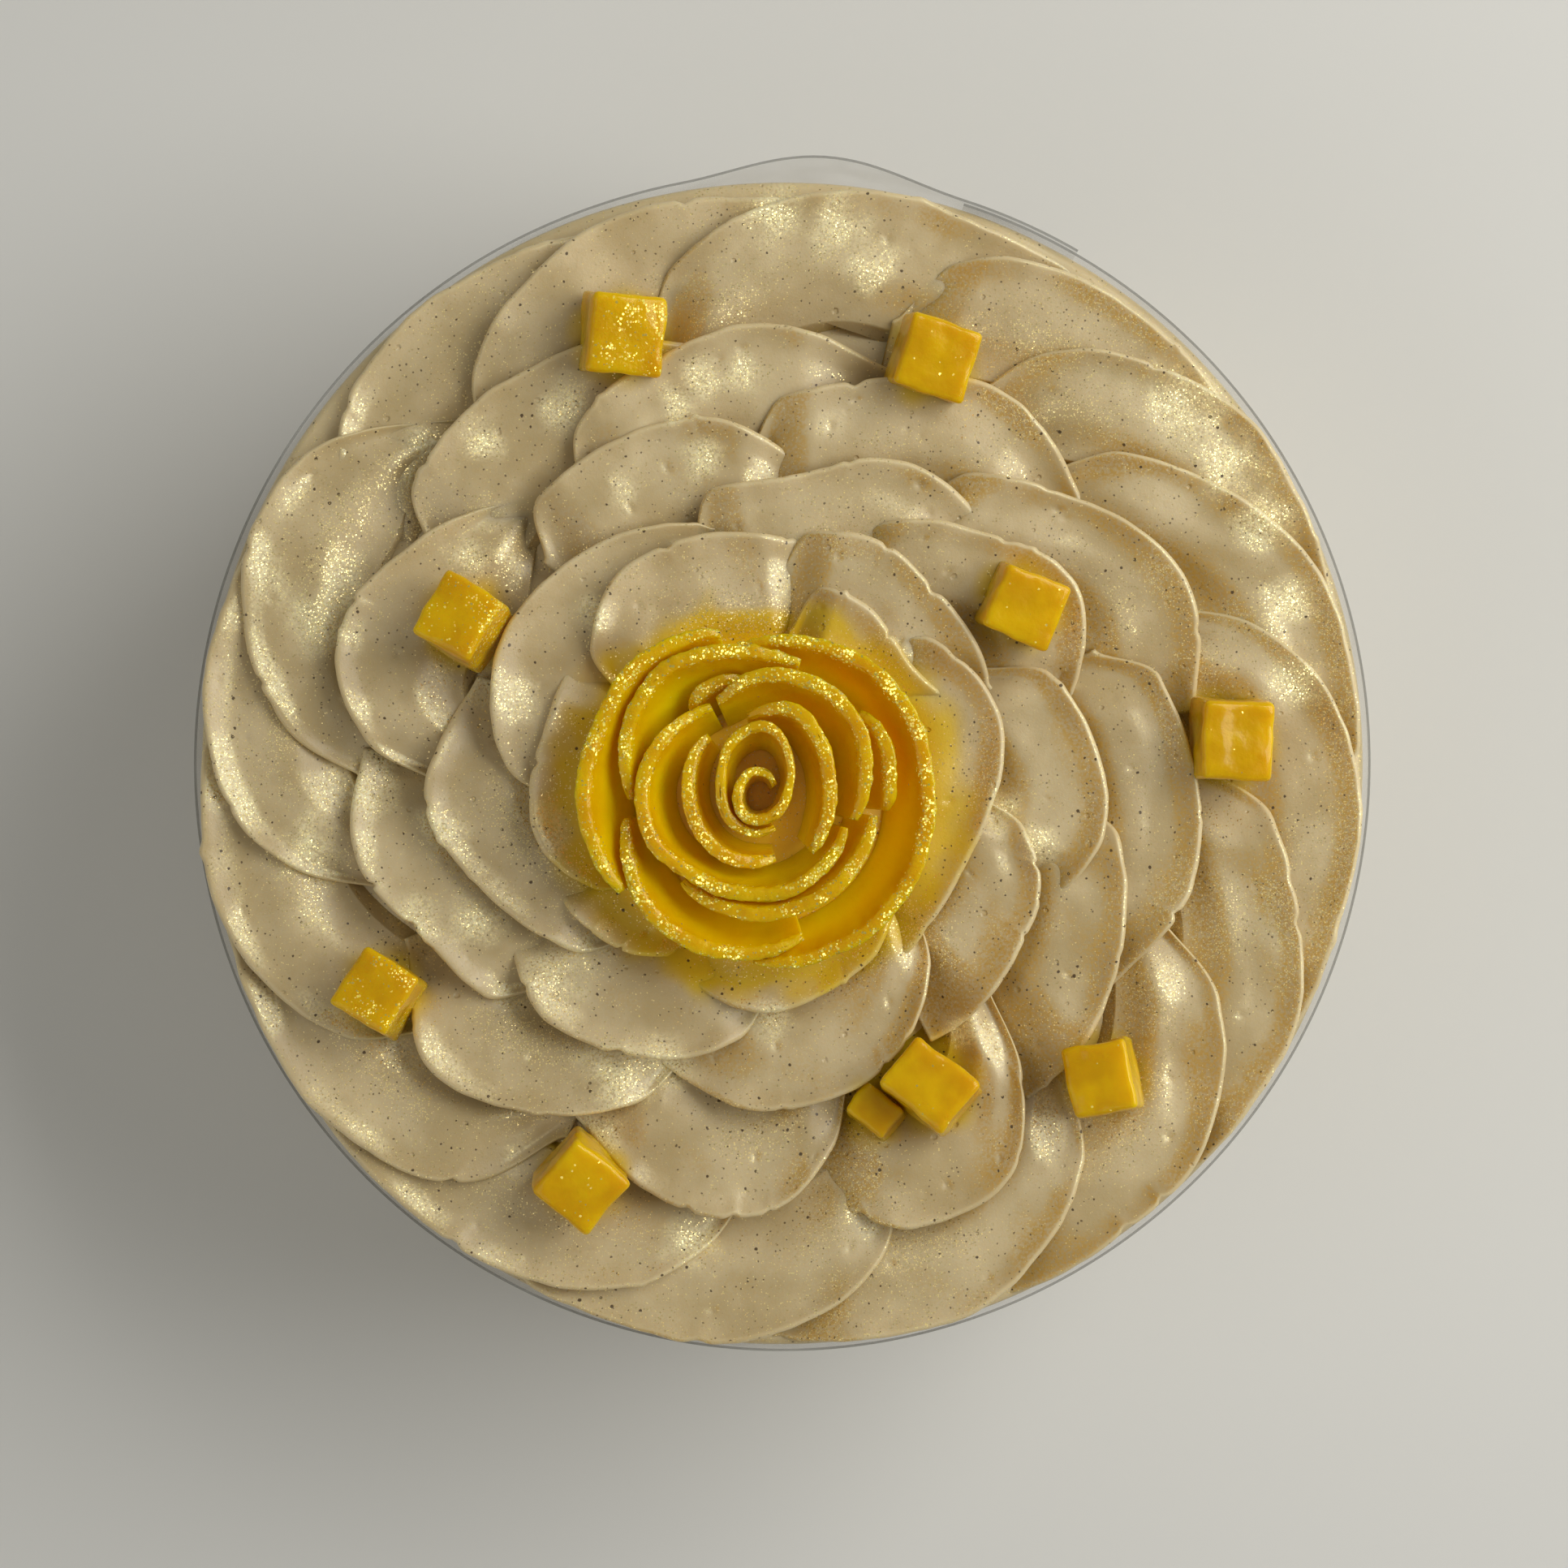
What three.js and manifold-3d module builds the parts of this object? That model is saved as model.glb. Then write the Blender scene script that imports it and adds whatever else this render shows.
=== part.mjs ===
// A round mango cream cake, 8 inches across, inside a strip of clear film.
//
// The top is piped with broad cream petals in four rings, each petal lying over the one before it.
// A rose of rolled mango slices stands in the middle, and cubes of mango sit among the petals.
// Millimetres, +Z up. The origin is the middle of the cake's underside, on the surface it stands on.
import * as THREE from 'three';
import { RoundedBoxGeometry } from 'three/addons/geometries/RoundedBoxGeometry.js';
import { mergeVertices } from 'three/addons/utils/BufferGeometryUtils.js';
import Module from 'manifold-3d';

const wasm = await Module();
wasm.setup();

// Driving dimensions of the cream
const COAT_RADIUS = 102.2;
const COAT_HEIGHT = 79.5;
const FOOT_ROUNDING = 1.2;
const RIM_RADIUS = 101;
const RIM_HEIGHT = 84;
const CONE_SLOPE = 0.2;
const BODY_BELOW_PETALS = 9.3;
const BODY_FLAT_RADIUS = 30;
const RIM_ROUNDING = 1;
const RIM_WIDTH = 6;
const BODY_SEGMENTS = 60;
const SAME_POINT = 1e-4;

// Driving dimensions of a petal: a ribbon, thin at its outer lip and thick at its root
const PETAL_LIFT = 2.6;
const PETAL_LEVEL = 0.7;
const START_SWEEP = 8;
const START_SWEEP_PART = 0.14;
const START_SWEEP_SHARPNESS = 1.5;
const START_DIP = 5;
const START_DIP_PART = 0.22;
const END_DIP = 5.5;
const END_DIP_PART = 0.28;
const FIRST_PETAL_DIP = 1.5;
const RIM_FIRST_PETAL_DIP = 2.8;
const FIRST_PETAL_RISE_FROM = 0.35;
const FIRST_PETAL_RISE_TO = 0.9;
const LAST_PETAL_END_PART = 0.4;
const LAST_PETAL_END_WIDTH = 0.15;
const SMALLEST_TURN = 5;
const ROOT_SPACING = 0.2;
const PETAL_WIDTH = 23;
const PETAL_STEP_LENGTH = 13;
const PETAL_STEP_CROWDING = 1.4;
const PETAL_FEWEST_STEPS = 5;
const PETAL_SECTION = [
  { inward: 0, rise: 1.2 },
  { inward: 3.5, rise: 0.2 },
  { inward: 14, rise: 0.1 },
  { inward: 18, rise: -1.3 },
  { inward: PETAL_WIDTH, rise: -2.4 },
  { inward: PETAL_WIDTH, rise: -13 },
  { inward: 8, rise: -5 },
  { inward: 0.4, rise: -0.5 },
];

// Petals in the order they were piped, clockwise. Each has the angles in degrees where it starts and
// ends, and the radius of its lip at even steps from its start to its end. A ring's first petal stays low
// under the ring's last petal, which narrows to a point at its end.
const OUTER_PETALS = [
  { from: 154, to: 104, lip: [86, 98, 101.5, 100, 97.5], lowered: RIM_FIRST_PETAL_DIP },
  { from: 135, to: 78, lip: [82, 93.5, 99.5, 98.5, 98] },
  { from: 109, to: 58, lip: [83, 94, 100.5, 100.5, 100.5] },
  { from: 76, to: 36, lip: [88, 96.5, 100, 100, 100.5] },
  { from: 64, to: 12, lip: [78, 92, 100.5, 101.5, 101] },
  { from: 49, to: -8, lip: [76, 88, 99, 101, 101] },
  { from: 23, to: -34, lip: [79.5, 95, 101.5, 101, 101.5] },
  { from: 0, to: -50, lip: [82, 90.5, 100, 101.5, 101.5] },
  { from: -22, to: -70, lip: [80, 93, 101, 101.5, 101.5] },
  { from: -47, to: -95, lip: [82, 93.5, 101.5, 101.5, 101.5] },
  { from: -73, to: -122, lip: [83, 95.5, 101.8, 101.8, 101.8] },
  { from: -92, to: -148, lip: [78, 94.5, 101.5, 101.5, 101.8] },
  { from: -120, to: -168, lip: [84, 96.5, 101.5, 101.5, 101.8] },
  { from: -142, to: -188, lip: [85, 95, 101.8, 101.8, 101.8] },
  { from: -161, to: -214, lip: [79, 95.5, 101.5, 101, 101] },
  { from: -177, to: -229, lip: [80, 97, 100, 81], last: true },
];
const SECOND_PETALS = [
  { from: 150, to: 96, lip: [79, 82, 80, 72], lowered: FIRST_PETAL_DIP },
  { from: 128, to: 73, lip: [66, 73, 76, 71] },
  { from: 97, to: 39, lip: [62, 68, 75, 69] },
  { from: 64, to: 7, lip: [57, 67, 77, 73] },
  { from: 20, to: -38, lip: [66, 71, 74, 68] },
  { from: -6, to: -54, lip: [57, 64, 70, 73] },
  { from: -47, to: -87, lip: [60, 81, 84, 76] },
  { from: -77, to: -122, lip: [62, 78, 78, 71] },
  { from: -107, to: -155, lip: [60, 73, 81, 73] },
  { from: -136, to: -182, lip: [65, 68, 76, 73] },
  { from: -176, to: -230, lip: [68, 80, 74, 62], last: true },
];
const THIRD_PETALS = [
  { from: 140, to: 83, lip: [62, 63, 61, 51], lowered: FIRST_PETAL_DIP },
  { from: 113, to: 44, lip: [49, 49, 56, 53] },
  { from: 76, to: 9, lip: [42, 51, 59, 51] },
  { from: 26, to: -33, lip: [46, 53, 57, 50] },
  { from: -8, to: -62, lip: [40, 49, 53, 55] },
  { from: -45, to: -115, lip: [38, 54, 60, 56] },
  { from: -91, to: -154, lip: [45, 55, 60, 55] },
  { from: -129, to: -196, lip: [46, 54, 62, 55] },
  { from: -167, to: -270, lip: [45, 53, 48, 39], last: true },
];
const INNER_PETALS = [
  { from: -116, to: -154, lip: [38, 42, 44, 45] },
  { from: -136, to: -216, lip: [36, 44, 41, 40] },
  { from: 160, to: 72, lip: [36, 43, 40, 37] },
  { from: 93, to: 10, lip: [39, 41, 39, 39] },
  { from: 87, to: 8, lip: [31, 30, 28, 33] },
  { from: 55, to: -72, lip: [31, 38.5, 36, 41] },
  { from: -43, to: -122, lip: [29, 38, 43, 40] },
];

// Driving dimensions of the mango rose, whose centre stands a little off the cake's axis
const ROSE_CENTRE = { x: -4, y: -6.3 };
const ROSE_FLOOR = 95;
const ROSE_BED_RADIUS = 26;
const ROSE_BED_HEIGHT = 95.5;
const ROSE_BED_BOTTOM = 80;
const ROSE_TOP = 107;
const ROSE_FOOT_SCALE = 0.72;
const ROSE_WELL_RADIUS = 33.2;
const ROSE_WELL_SEGMENTS = 36;
const SLICE_THICKNESS = 2.5;
const SLICE_EDGE_ROUNDING = 0.6;
const SLICE_END_DROP = 2.4;
const SLICE_TOP_PART = 0.5;
const CLEARANCE = 0.3;

// Mango slices from the outside in: start and end angles round the rose's centre, and the radius of
// the middle of the top edge at even steps from start to end.
const ROSE_SLICES = [
  { from: 98, to: -92, radii: [29.6, 30.7, 31.2, 30.6, 30.8, 31.1, 31], drop: 2 },
  { from: 103, to: 214, radii: [31.4, 31.3, 30.3, 30.2, 30.2], drop: 0.5 },
  { from: -72, to: -172, radii: [27.4, 28, 28.3, 28.2, 27.6, 26.3, 25.4], drop: 2 },
  { from: 73, to: 180, radii: [26.3, 26.2, 27.3, 27.8, 26.8, 25, 23.7], drop: 1 },
  { from: 128, to: 96, radii: [22.8, 23.2, 23.5], drop: 4 },
  { from: 41, to: -5, radii: [25.4, 24.8, 24.2, 24], drop: 2 },
  { from: 227, to: 352, radii: [20.6, 20.5, 20.2, 20.1, 20.4, 20.8, 21.4], drop: 1 },
  { from: 113, to: -12, radii: [19.3, 21.2, 22.1, 21, 18.9, 17.5], drop: 0 },
  { from: 117, to: 342, radii: [19.3, 20.2, 20.7, 19.8, 17.6, 16.8, 16.7, 16.8, 16.7], drop: 1 },
  { from: 128, to: 286, radii: [15.3, 13.6, 12.1, 11.9, 11.6, 11.6], drop: 2 },
  { from: 98, to: -45, radii: [15.3, 16.5, 14.2, 12.5, 12.4, 13.2], drop: 0 },
  {
    from: 300,
    to: -320,
    radii: [
      5.8, 5.9, 6.1, 6.2, 6.6, 7.8, 10.9, 12.4, 8.5, 5.4, 4.4,
      3.8, 3.5, 3.5, 3.6, 3.6, 3.8, 4.3, 4.9, 4.6, 3.7,
    ],
    drop: 0,
    thickness: 1.9,
  },
];
const SLICE_STEP_LENGTH = 6;
const SLICE_STEP_DEGREES = 22;

// Mango cubes: where each one sits, its three sides, how it is turned and how far it leans
const CUBES = [
  { x: -27.8, y: 74, sides: [13.2, 14, 12], turn: -4, lean: 14, above: 1.5 },
  { x: 26, y: 69.8, sides: [13, 13, 12], turn: -17, lean: 8, above: 1.5 },
  { x: 41.1, y: 27.1, sides: [12.4, 11.8, 11], turn: -22, lean: 10, above: 0.6 },
  { x: -54.7, y: 24, sides: [12, 12.4, 12], turn: -30, lean: -12, above: 1.2 },
  { x: 77.3, y: 4.1, sides: [12.4, 14, 12], turn: -2, lean: 8, above: 1.8 },
  { x: -69.5, y: -39.9, sides: [11.6, 12, 12], turn: -32, lean: -8, above: 1.5 },
  { x: 25.4, y: -55.8, sides: [14.4, 11.2, 12], turn: -38, lean: -9, above: 1.8 },
  { x: 55.6, y: -54.6, sides: [11.4, 12.4, 12], turn: 13, lean: -12, above: 1.2 },
  { x: -34.8, y: -72.1, sides: [12.6, 12.4, 12], turn: -41, lean: 9, above: 1.5 },
  { x: 16.2, y: -60.6, sides: [8.4, 6.6, 9], turn: -38, lean: -9, above: -3 },
];
const CUBE_ROUNDING = 1.4;
const CUBE_ROUNDING_STEPS = 1;

// Driving dimensions of the film strip, whose outer end bulges away from the cream and laps the inner end
const FILM_THICKNESS = 0.4;
const FILM_INNER_RADIUS = 102.6;
const FILM_BOTTOM = 0.5;
const FILM_TOP = 80.5;
const FILM_START = 72;
const FILM_LAP = 12;
const LAP_RISE_FROM = 320;
const LAP_RISE_TO = 350;
const BULGE_FROM = 100;
const BULGE_DEPTH = 2.9;
const BULGE_AT_FOOT = 0.3;
const FILM_STEPS = 62;
const FILM_ROWS = 2;

const CREAM = new THREE.MeshStandardMaterial({ color: 0xcbbb92, roughness: 0.55, metalness: 0 });
const MANGO = new THREE.MeshStandardMaterial({ color: 0xe0a503, roughness: 0.22, metalness: 0 });
const CLEAR_FILM = new THREE.MeshStandardMaterial({
  color: 0xe6e8ea, roughness: 0.08, metalness: 0, transparent: true, opacity: 0.3,
});

const radians = THREE.MathUtils.degToRad;

// A smooth curve through values spaced evenly from 0 to 1.
function through(values, t) {
  const place = THREE.MathUtils.clamp(t, 0, 1) * (values.length - 1);
  const i = Math.min(Math.floor(place), values.length - 2);
  const f = place - i;
  const before = values[Math.max(i - 1, 0)];
  const after = values[Math.min(i + 2, values.length - 1)];
  const [a, b] = [values[i], values[i + 1]];
  const slopeA = (b - before) / 2;
  const slopeB = (after - a) / 2;
  return a + f * (slopeA + f * (3 * (b - a) - 2 * slopeA - slopeB + f * (2 * (a - b) + slopeA + slopeB)));
}

// One closed body lofted through loops that all have the same number of points.
function loft(loops) {
  const count = loops[0].length;
  const indices = [];
  for (let i = 0; i + 1 < loops.length; i += 1) {
    for (let j = 0; j < count; j += 1) {
      const k = (j + 1) % count;
      const [a, b] = [i * count + j, i * count + k];
      indices.push(a, b, b + count, a, b + count, a + count);
    }
  }
  const last = (loops.length - 1) * count;
  for (const [a, b, c] of capTriangles(loops[0])) indices.push(c, b, a);
  for (const [a, b, c] of capTriangles(loops[loops.length - 1])) indices.push(last + a, last + b, last + c);
  const geometry = new THREE.BufferGeometry();
  geometry.setAttribute('position', new THREE.Float32BufferAttribute(loops.flat(2), 3));
  geometry.setIndex(indices);
  return facingOut(geometry);
}

// A loft through the loops that a function gives at even steps from 0 to 1.
function loftAlong(loopAt, steps) {
  return loft(Array.from({ length: steps + 1 }, (_, i) => loopAt(i / steps)));
}

// Triangles that close a loop, found in the plane through its first corners.
function capTriangles(loop) {
  const points = loop.map((p) => new THREE.Vector3(...p));
  const normal = new THREE.Vector3();
  points.forEach((p, i) => {
    normal.add(new THREE.Vector3().crossVectors(p, points[(i + 1) % points.length]));
  });
  normal.normalize();
  const side = new THREE.Vector3().subVectors(points[1], points[0]).normalize();
  const up = new THREE.Vector3().crossVectors(normal, side);
  const flat = points.map((p) => new THREE.Vector2(p.dot(side), p.dot(up)));
  return THREE.ShapeUtils.triangulateShape(flat, []);
}

function signedVolume(geometry) {
  const position = geometry.getAttribute('position');
  const index = geometry.getIndex();
  const [a, b, c] = [new THREE.Vector3(), new THREE.Vector3(), new THREE.Vector3()];
  let total = 0;
  for (let i = 0; i < index.count; i += 3) {
    a.fromBufferAttribute(position, index.getX(i));
    b.fromBufferAttribute(position, index.getX(i + 1));
    c.fromBufferAttribute(position, index.getX(i + 2));
    total += a.dot(b.cross(c)) / 6;
  }
  return total;
}

function facingOut(geometry) {
  if (signedVolume(geometry) < 0) geometry.setIndex(Array.from(geometry.getIndex().array).reverse());
  return geometry;
}

function toSolid(geometry) {
  const bare = geometry.clone();
  for (const name of Object.keys(bare.attributes)) {
    if (name !== 'position') bare.deleteAttribute(name);
  }
  const merged = facingOut(mergeVertices(bare, SAME_POINT));
  const vertProperties = new Float32Array(merged.getAttribute('position').array);
  const triVerts = new Uint32Array(merged.getIndex().array);
  return new wasm.Manifold(new wasm.Mesh({ numProp: 3, vertProperties, triVerts }));
}

function toGeometry(solid) {
  const mesh = solid.getMesh();
  const geometry = new THREE.BufferGeometry();
  geometry.setAttribute('position', new THREE.Float32BufferAttribute(mesh.vertProperties, 3));
  geometry.setIndex(Array.from(mesh.triVerts));
  return geometry;
}

// The outer skin of a solid alone, so that pockets sealed inside the cream are filled.
function outerSkin(solid) {
  const shells = solid.decompose();
  return shells.reduce((best, shell) => (shell.volume() > best.volume() ? shell : best));
}

// Height of a petal's lip at a given distance from the cake's axis: the rings climb to the middle.
function coneHeight(radius) {
  return RIM_HEIGHT + CONE_SLOPE * (RIM_RADIUS - radius);
}

function bodyGeometry() {
  const bodyTop = (radius) => coneHeight(radius) - BODY_BELOW_PETALS;
  const rimInside = COAT_RADIUS - RIM_WIDTH;
  const creaseRadius = rimInside - RIM_WIDTH;
  const profile = [
    [0, 0],
    [COAT_RADIUS - FOOT_ROUNDING, 0],
    [COAT_RADIUS, FOOT_ROUNDING],
    [COAT_RADIUS, COAT_HEIGHT - RIM_ROUNDING],
    [COAT_RADIUS - RIM_ROUNDING, COAT_HEIGHT],
    [rimInside, COAT_HEIGHT],
    [creaseRadius, bodyTop(creaseRadius)],
    [BODY_FLAT_RADIUS, bodyTop(BODY_FLAT_RADIUS)],
    [0, bodyTop(BODY_FLAT_RADIUS)],
  ];
  const geometry = new THREE.LatheGeometry(profile.map(([x, y]) => new THREE.Vector2(x, y)), BODY_SEGMENTS);
  return geometry.rotateX(Math.PI / 2);
}

// The radius of a petal's lip at one place along it. It sweeps out from under the next ring at its start.
function lipRadius(petal, t) {
  const swept = THREE.MathUtils.smoothstep(t, 0, START_SWEEP_PART);
  return through(petal.lip, t) - START_SWEEP * (1 - swept) ** START_SWEEP_SHARPNESS;
}

// How high a petal's lip stands at one place along it. The petal starts low, in the crease beside the next
// ring, climbs over the petal before it, and sinks as it goes, so that the next petal can lie over its end.
function lipHeight(petal, t) {
  const radius = through(petal.lip, t);
  const climbing = 1 - THREE.MathUtils.smoothstep(t, 0, START_DIP_PART);
  const ending = THREE.MathUtils.smoothstep(t, 1 - END_DIP_PART, 1);
  const risen = THREE.MathUtils.smoothstep(t, FIRST_PETAL_RISE_FROM, FIRST_PETAL_RISE_TO);
  const underLast = (petal.lowered ?? 0) * (1 - risen);
  const level = coneHeight(THREE.MathUtils.lerp(radius, Math.max(...petal.lip), PETAL_LEVEL));
  return level + PETAL_LIFT * (0.5 - t) - START_DIP * climbing - END_DIP * ending - underLast;
}

// A petal's cross-section at one place along it, as a loop of points.
function petalLoop(petal, t) {
  const angle = radians(THREE.MathUtils.lerp(petal.from, petal.to, t));
  const narrowing = petal.last ? THREE.MathUtils.smoothstep(t, 1 - LAST_PETAL_END_PART, 1) : 0;
  const width = THREE.MathUtils.lerp(1, LAST_PETAL_END_WIDTH, narrowing);
  return PETAL_SECTION.map(({ inward, rise }) => {
    const least = SMALLEST_TURN + ROOT_SPACING * (PETAL_WIDTH - inward);
    const radius = Math.max(lipRadius(petal, t) - inward * width, least);
    return [radius * Math.cos(angle), radius * Math.sin(angle), lipHeight(petal, t) + rise];
  });
}

function petalGeometry(petal) {
  const length = radians(petal.from - petal.to) * through(petal.lip, 0.5);
  const steps = Math.max(PETAL_FEWEST_STEPS, Math.round(length / PETAL_STEP_LENGTH));
  return loftAlong((t) => petalLoop(petal, t ** PETAL_STEP_CROWDING), steps);
}

// The round of cream under the rose, which fills the middle of the petals' innermost ring.
function roseBed() {
  const rise = ROSE_BED_HEIGHT - ROSE_BED_BOTTOM;
  const geometry = new THREE.CylinderGeometry(ROSE_BED_RADIUS, ROSE_BED_RADIUS, rise, ROSE_WELL_SEGMENTS);
  geometry.rotateX(Math.PI / 2);
  return geometry.translate(ROSE_CENTRE.x, ROSE_CENTRE.y, ROSE_BED_BOTTOM + rise / 2);
}

// The hollow in the cream that the rose stands in, a little wider than the rose all round.
function roseWell() {
  const rise = ROSE_TOP - ROSE_FLOOR;
  const footRadius = ROSE_WELL_RADIUS * ROSE_FOOT_SCALE;
  const geometry = new THREE.CylinderGeometry(ROSE_WELL_RADIUS, footRadius, rise, ROSE_WELL_SEGMENTS);
  geometry.rotateX(Math.PI / 2);
  return geometry.translate(ROSE_CENTRE.x, ROSE_CENTRE.y, ROSE_FLOOR + rise / 2);
}

function cubePlace(cube) {
  const height = coneHeight(Math.hypot(cube.x, cube.y)) + cube.above;
  const place = new THREE.Matrix4().makeTranslation(cube.x, cube.y, height);
  place.multiply(new THREE.Matrix4().makeRotationZ(radians(cube.turn)));
  place.multiply(new THREE.Matrix4().makeRotationY(radians(cube.lean)));
  return place.multiply(new THREE.Matrix4().makeRotationX(radians(cube.lean / 2)));
}

function cubeGeometry(cube) {
  const geometry = new RoundedBoxGeometry(...cube.sides, CUBE_ROUNDING_STEPS, CUBE_ROUNDING);
  return geometry.applyMatrix4(cubePlace(cube));
}

// The pocket that a cube is pressed into, a little larger than the cube on every side.
function pocketGeometry(cube) {
  const [width, depth, height] = cube.sides.map((side) => side + 2 * CLEARANCE);
  return new THREE.BoxGeometry(width, depth, height).applyMatrix4(cubePlace(cube));
}

function cakeGeometry() {
  const petals = [...OUTER_PETALS, ...SECOND_PETALS, ...THIRD_PETALS, ...INNER_PETALS];
  let cream = toSolid(bodyGeometry()).add(toSolid(roseBed()));
  for (const petal of petals) cream = cream.add(toSolid(petalGeometry(petal)));
  cream = cream.subtract(toSolid(roseWell()));
  for (const cube of CUBES) cream = cream.subtract(toSolid(pocketGeometry(cube)));
  return toGeometry(outerSkin(cream));
}

// A mango slice stands on its edge and leans outward: its foot is the same curve, drawn smaller.
// Its top edge is arched, so it drops towards both ends.
function sliceLoop(slice, t) {
  const angle = radians(THREE.MathUtils.lerp(slice.from, slice.to, t));
  const middle = through(slice.radii, t);
  const top = ROSE_TOP - slice.drop - SLICE_END_DROP * Math.abs(2 * t - 1) ** 3;
  const shoulder = top - SLICE_EDGE_ROUNDING;
  const foot = ROSE_FLOOR + CLEARANCE;
  const half = (slice.thickness ?? SLICE_THICKNESS) / 2;
  const corner = (side, z) => {
    const scale = ROSE_FOOT_SCALE + (1 - ROSE_FOOT_SCALE) * (z - foot) / (ROSE_TOP - foot);
    const radius = (middle + side * half) * scale;
    return [ROSE_CENTRE.x + radius * Math.cos(angle), ROSE_CENTRE.y + radius * Math.sin(angle), z];
  };
  return [
    corner(-1, foot), corner(1, foot), corner(1, shoulder),
    corner(SLICE_TOP_PART, top), corner(-SLICE_TOP_PART, top), corner(-1, shoulder),
  ];
}

function sliceGeometry(slice) {
  const sweep = Math.abs(slice.to - slice.from);
  const length = radians(sweep) * through(slice.radii, 0.5);
  const steps = Math.max(Math.round(length / SLICE_STEP_LENGTH), Math.round(sweep / SLICE_STEP_DEGREES));
  return loftAlong((t) => sliceLoop(slice, t), steps);
}

// How far the film stands off the cream at an angle and height.
function filmRadius(degrees, height) {
  const across = (degrees - FILM_START) / (BULGE_FROM - FILM_START);
  const swell = across > 0 && across < 1 ? Math.sin(Math.PI * across) ** 2 : 0;
  const upward = BULGE_AT_FOOT + (1 - BULGE_AT_FOOT) * height / FILM_TOP;
  return FILM_INNER_RADIUS + BULGE_DEPTH * swell * upward;
}

// The strip runs clockwise from its inner end, round the cake, past the bulge and over its own start.
function filmLoop(t) {
  const travelled = t * (360 + FILM_LAP);
  const angle = FILM_START - travelled;
  const onceRound = angle + 360;
  const outer = THREE.MathUtils.smoothstep(travelled, LAP_RISE_FROM, LAP_RISE_TO);
  const step = outer * (FILM_THICKNESS + CLEARANCE);
  const rowHeight = (FILM_TOP - FILM_BOTTOM) / FILM_ROWS;
  const rows = Array.from({ length: FILM_ROWS + 1 }, (_, i) => FILM_BOTTOM + rowHeight * i);
  const place = (thickness) => (height) => {
    const radius = filmRadius(onceRound, height) + step + thickness;
    return [radius * Math.cos(radians(angle)), radius * Math.sin(radians(angle)), height];
  };
  return [...rows.map(place(0)), ...rows.toReversed().map(place(FILM_THICKNESS))];
}

function addPiece(group, name, geometry, material) {
  const mesh = new THREE.Mesh(geometry, material);
  mesh.name = name;
  group.add(mesh);
}

const cake = new THREE.Group();
addPiece(cake, 'cake', cakeGeometry(), CREAM);
CUBES.forEach((cube, i) => addPiece(cake, `mango_cube_${i + 1}`, cubeGeometry(cube), MANGO));
ROSE_SLICES.forEach((slice, i) => addPiece(cake, `rose_slice_${i + 1}`, sliceGeometry(slice), MANGO));
addPiece(cake, 'film', loftAlong(filmLoop, FILM_STEPS), CLEAR_FILM);

export default cake;
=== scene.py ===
"""A round mango cream cake: piped cream petals, a mango rose, mango cubes and a clear film strip."""
import math
import random

import bmesh
import bpy
import numpy as np
from mathutils import Matrix, Vector, noise


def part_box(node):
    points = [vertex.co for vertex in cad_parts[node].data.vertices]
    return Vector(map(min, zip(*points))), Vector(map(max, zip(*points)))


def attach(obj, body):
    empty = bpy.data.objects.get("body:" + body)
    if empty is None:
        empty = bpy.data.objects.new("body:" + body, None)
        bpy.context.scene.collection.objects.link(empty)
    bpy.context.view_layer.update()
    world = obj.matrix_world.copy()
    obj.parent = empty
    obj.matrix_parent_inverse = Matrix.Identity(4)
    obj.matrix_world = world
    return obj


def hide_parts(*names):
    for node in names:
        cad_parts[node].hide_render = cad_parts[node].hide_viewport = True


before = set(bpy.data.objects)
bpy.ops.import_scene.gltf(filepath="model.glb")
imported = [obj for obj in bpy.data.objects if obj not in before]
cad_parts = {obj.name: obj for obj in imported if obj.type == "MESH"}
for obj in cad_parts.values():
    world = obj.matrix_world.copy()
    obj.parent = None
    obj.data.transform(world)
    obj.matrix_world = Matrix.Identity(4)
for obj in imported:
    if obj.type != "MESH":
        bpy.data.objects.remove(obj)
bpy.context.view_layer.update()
MM = 0.001

# The photograph: a square picture taken from straight above, a little off the cake's axis
PICTURE_SIDE = 1932
PIXEL_ON_FLOOR = 0.158 * MM
CAMERA_HEIGHT = 0.8
CAMERA_X = 0.3 * MM
CAMERA_Y = -3.7 * MM

# The cream coat and the cone that the rings of petals climb; its lengths are in millimetres
COAT_RADIUS = 102.2
COAT_HEIGHT = 79.5
RIM_RADIUS = 101
RIM_HEIGHT = 84
CONE_SLOPE = 0.2
BODY_BELOW_PETALS = 9.3
ROSE_FLOOR = 95
ROSE_BED_RADIUS = 26
ROSE_BED_BOTTOM = 80
COAT_ROWS = 24
COAT_STEPS = 220
BED_STEPS = 72
SMEARED_OUTSIDE = 90
SMEARED_ABOVE = 1
SMEAR_HEIGHT = 30
SMEAR_DEPTH = 0.35
TOP_EDGE_ABOVE = 76
TOP_EDGE_WAVE = 0.5

# A petal's cross-section, from its root underneath, round its thin lip, and back over the top
PETAL_SECTION = [
    (23, -13), (8, -4.6), (1.2, -0.8), (0.1, -0.1), (0.05, 0.8), (0.6, 1.3), (1.4, 1.15), (2.8, 0.6),
    (4.4, 0.15), (6.5, 0), (9, 0.05), (11.5, 0.15), (13.5, 0.1), (15.2, -0.25), (17, -0.95), (19, -1.7),
    (21, -2.2), (23, -2.4),
]
SECTION_INWARD = [point[0] for point in PETAL_SECTION]
SECTION_RISE = [point[1] for point in PETAL_SECTION]
PETAL_WIDTH = 23
PETAL_LIFT = 2.6
PETAL_LEVEL = 0.7
START_SWEEP = 8
START_SWEEP_PART = 0.14
START_SWEEP_SHARPNESS = 1.5
START_DIP = 5
START_DIP_PART = 0.22
END_DIP = 5.5
END_DIP_PART = 0.28
FIRST_PETAL_DIP = 1.5
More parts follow.
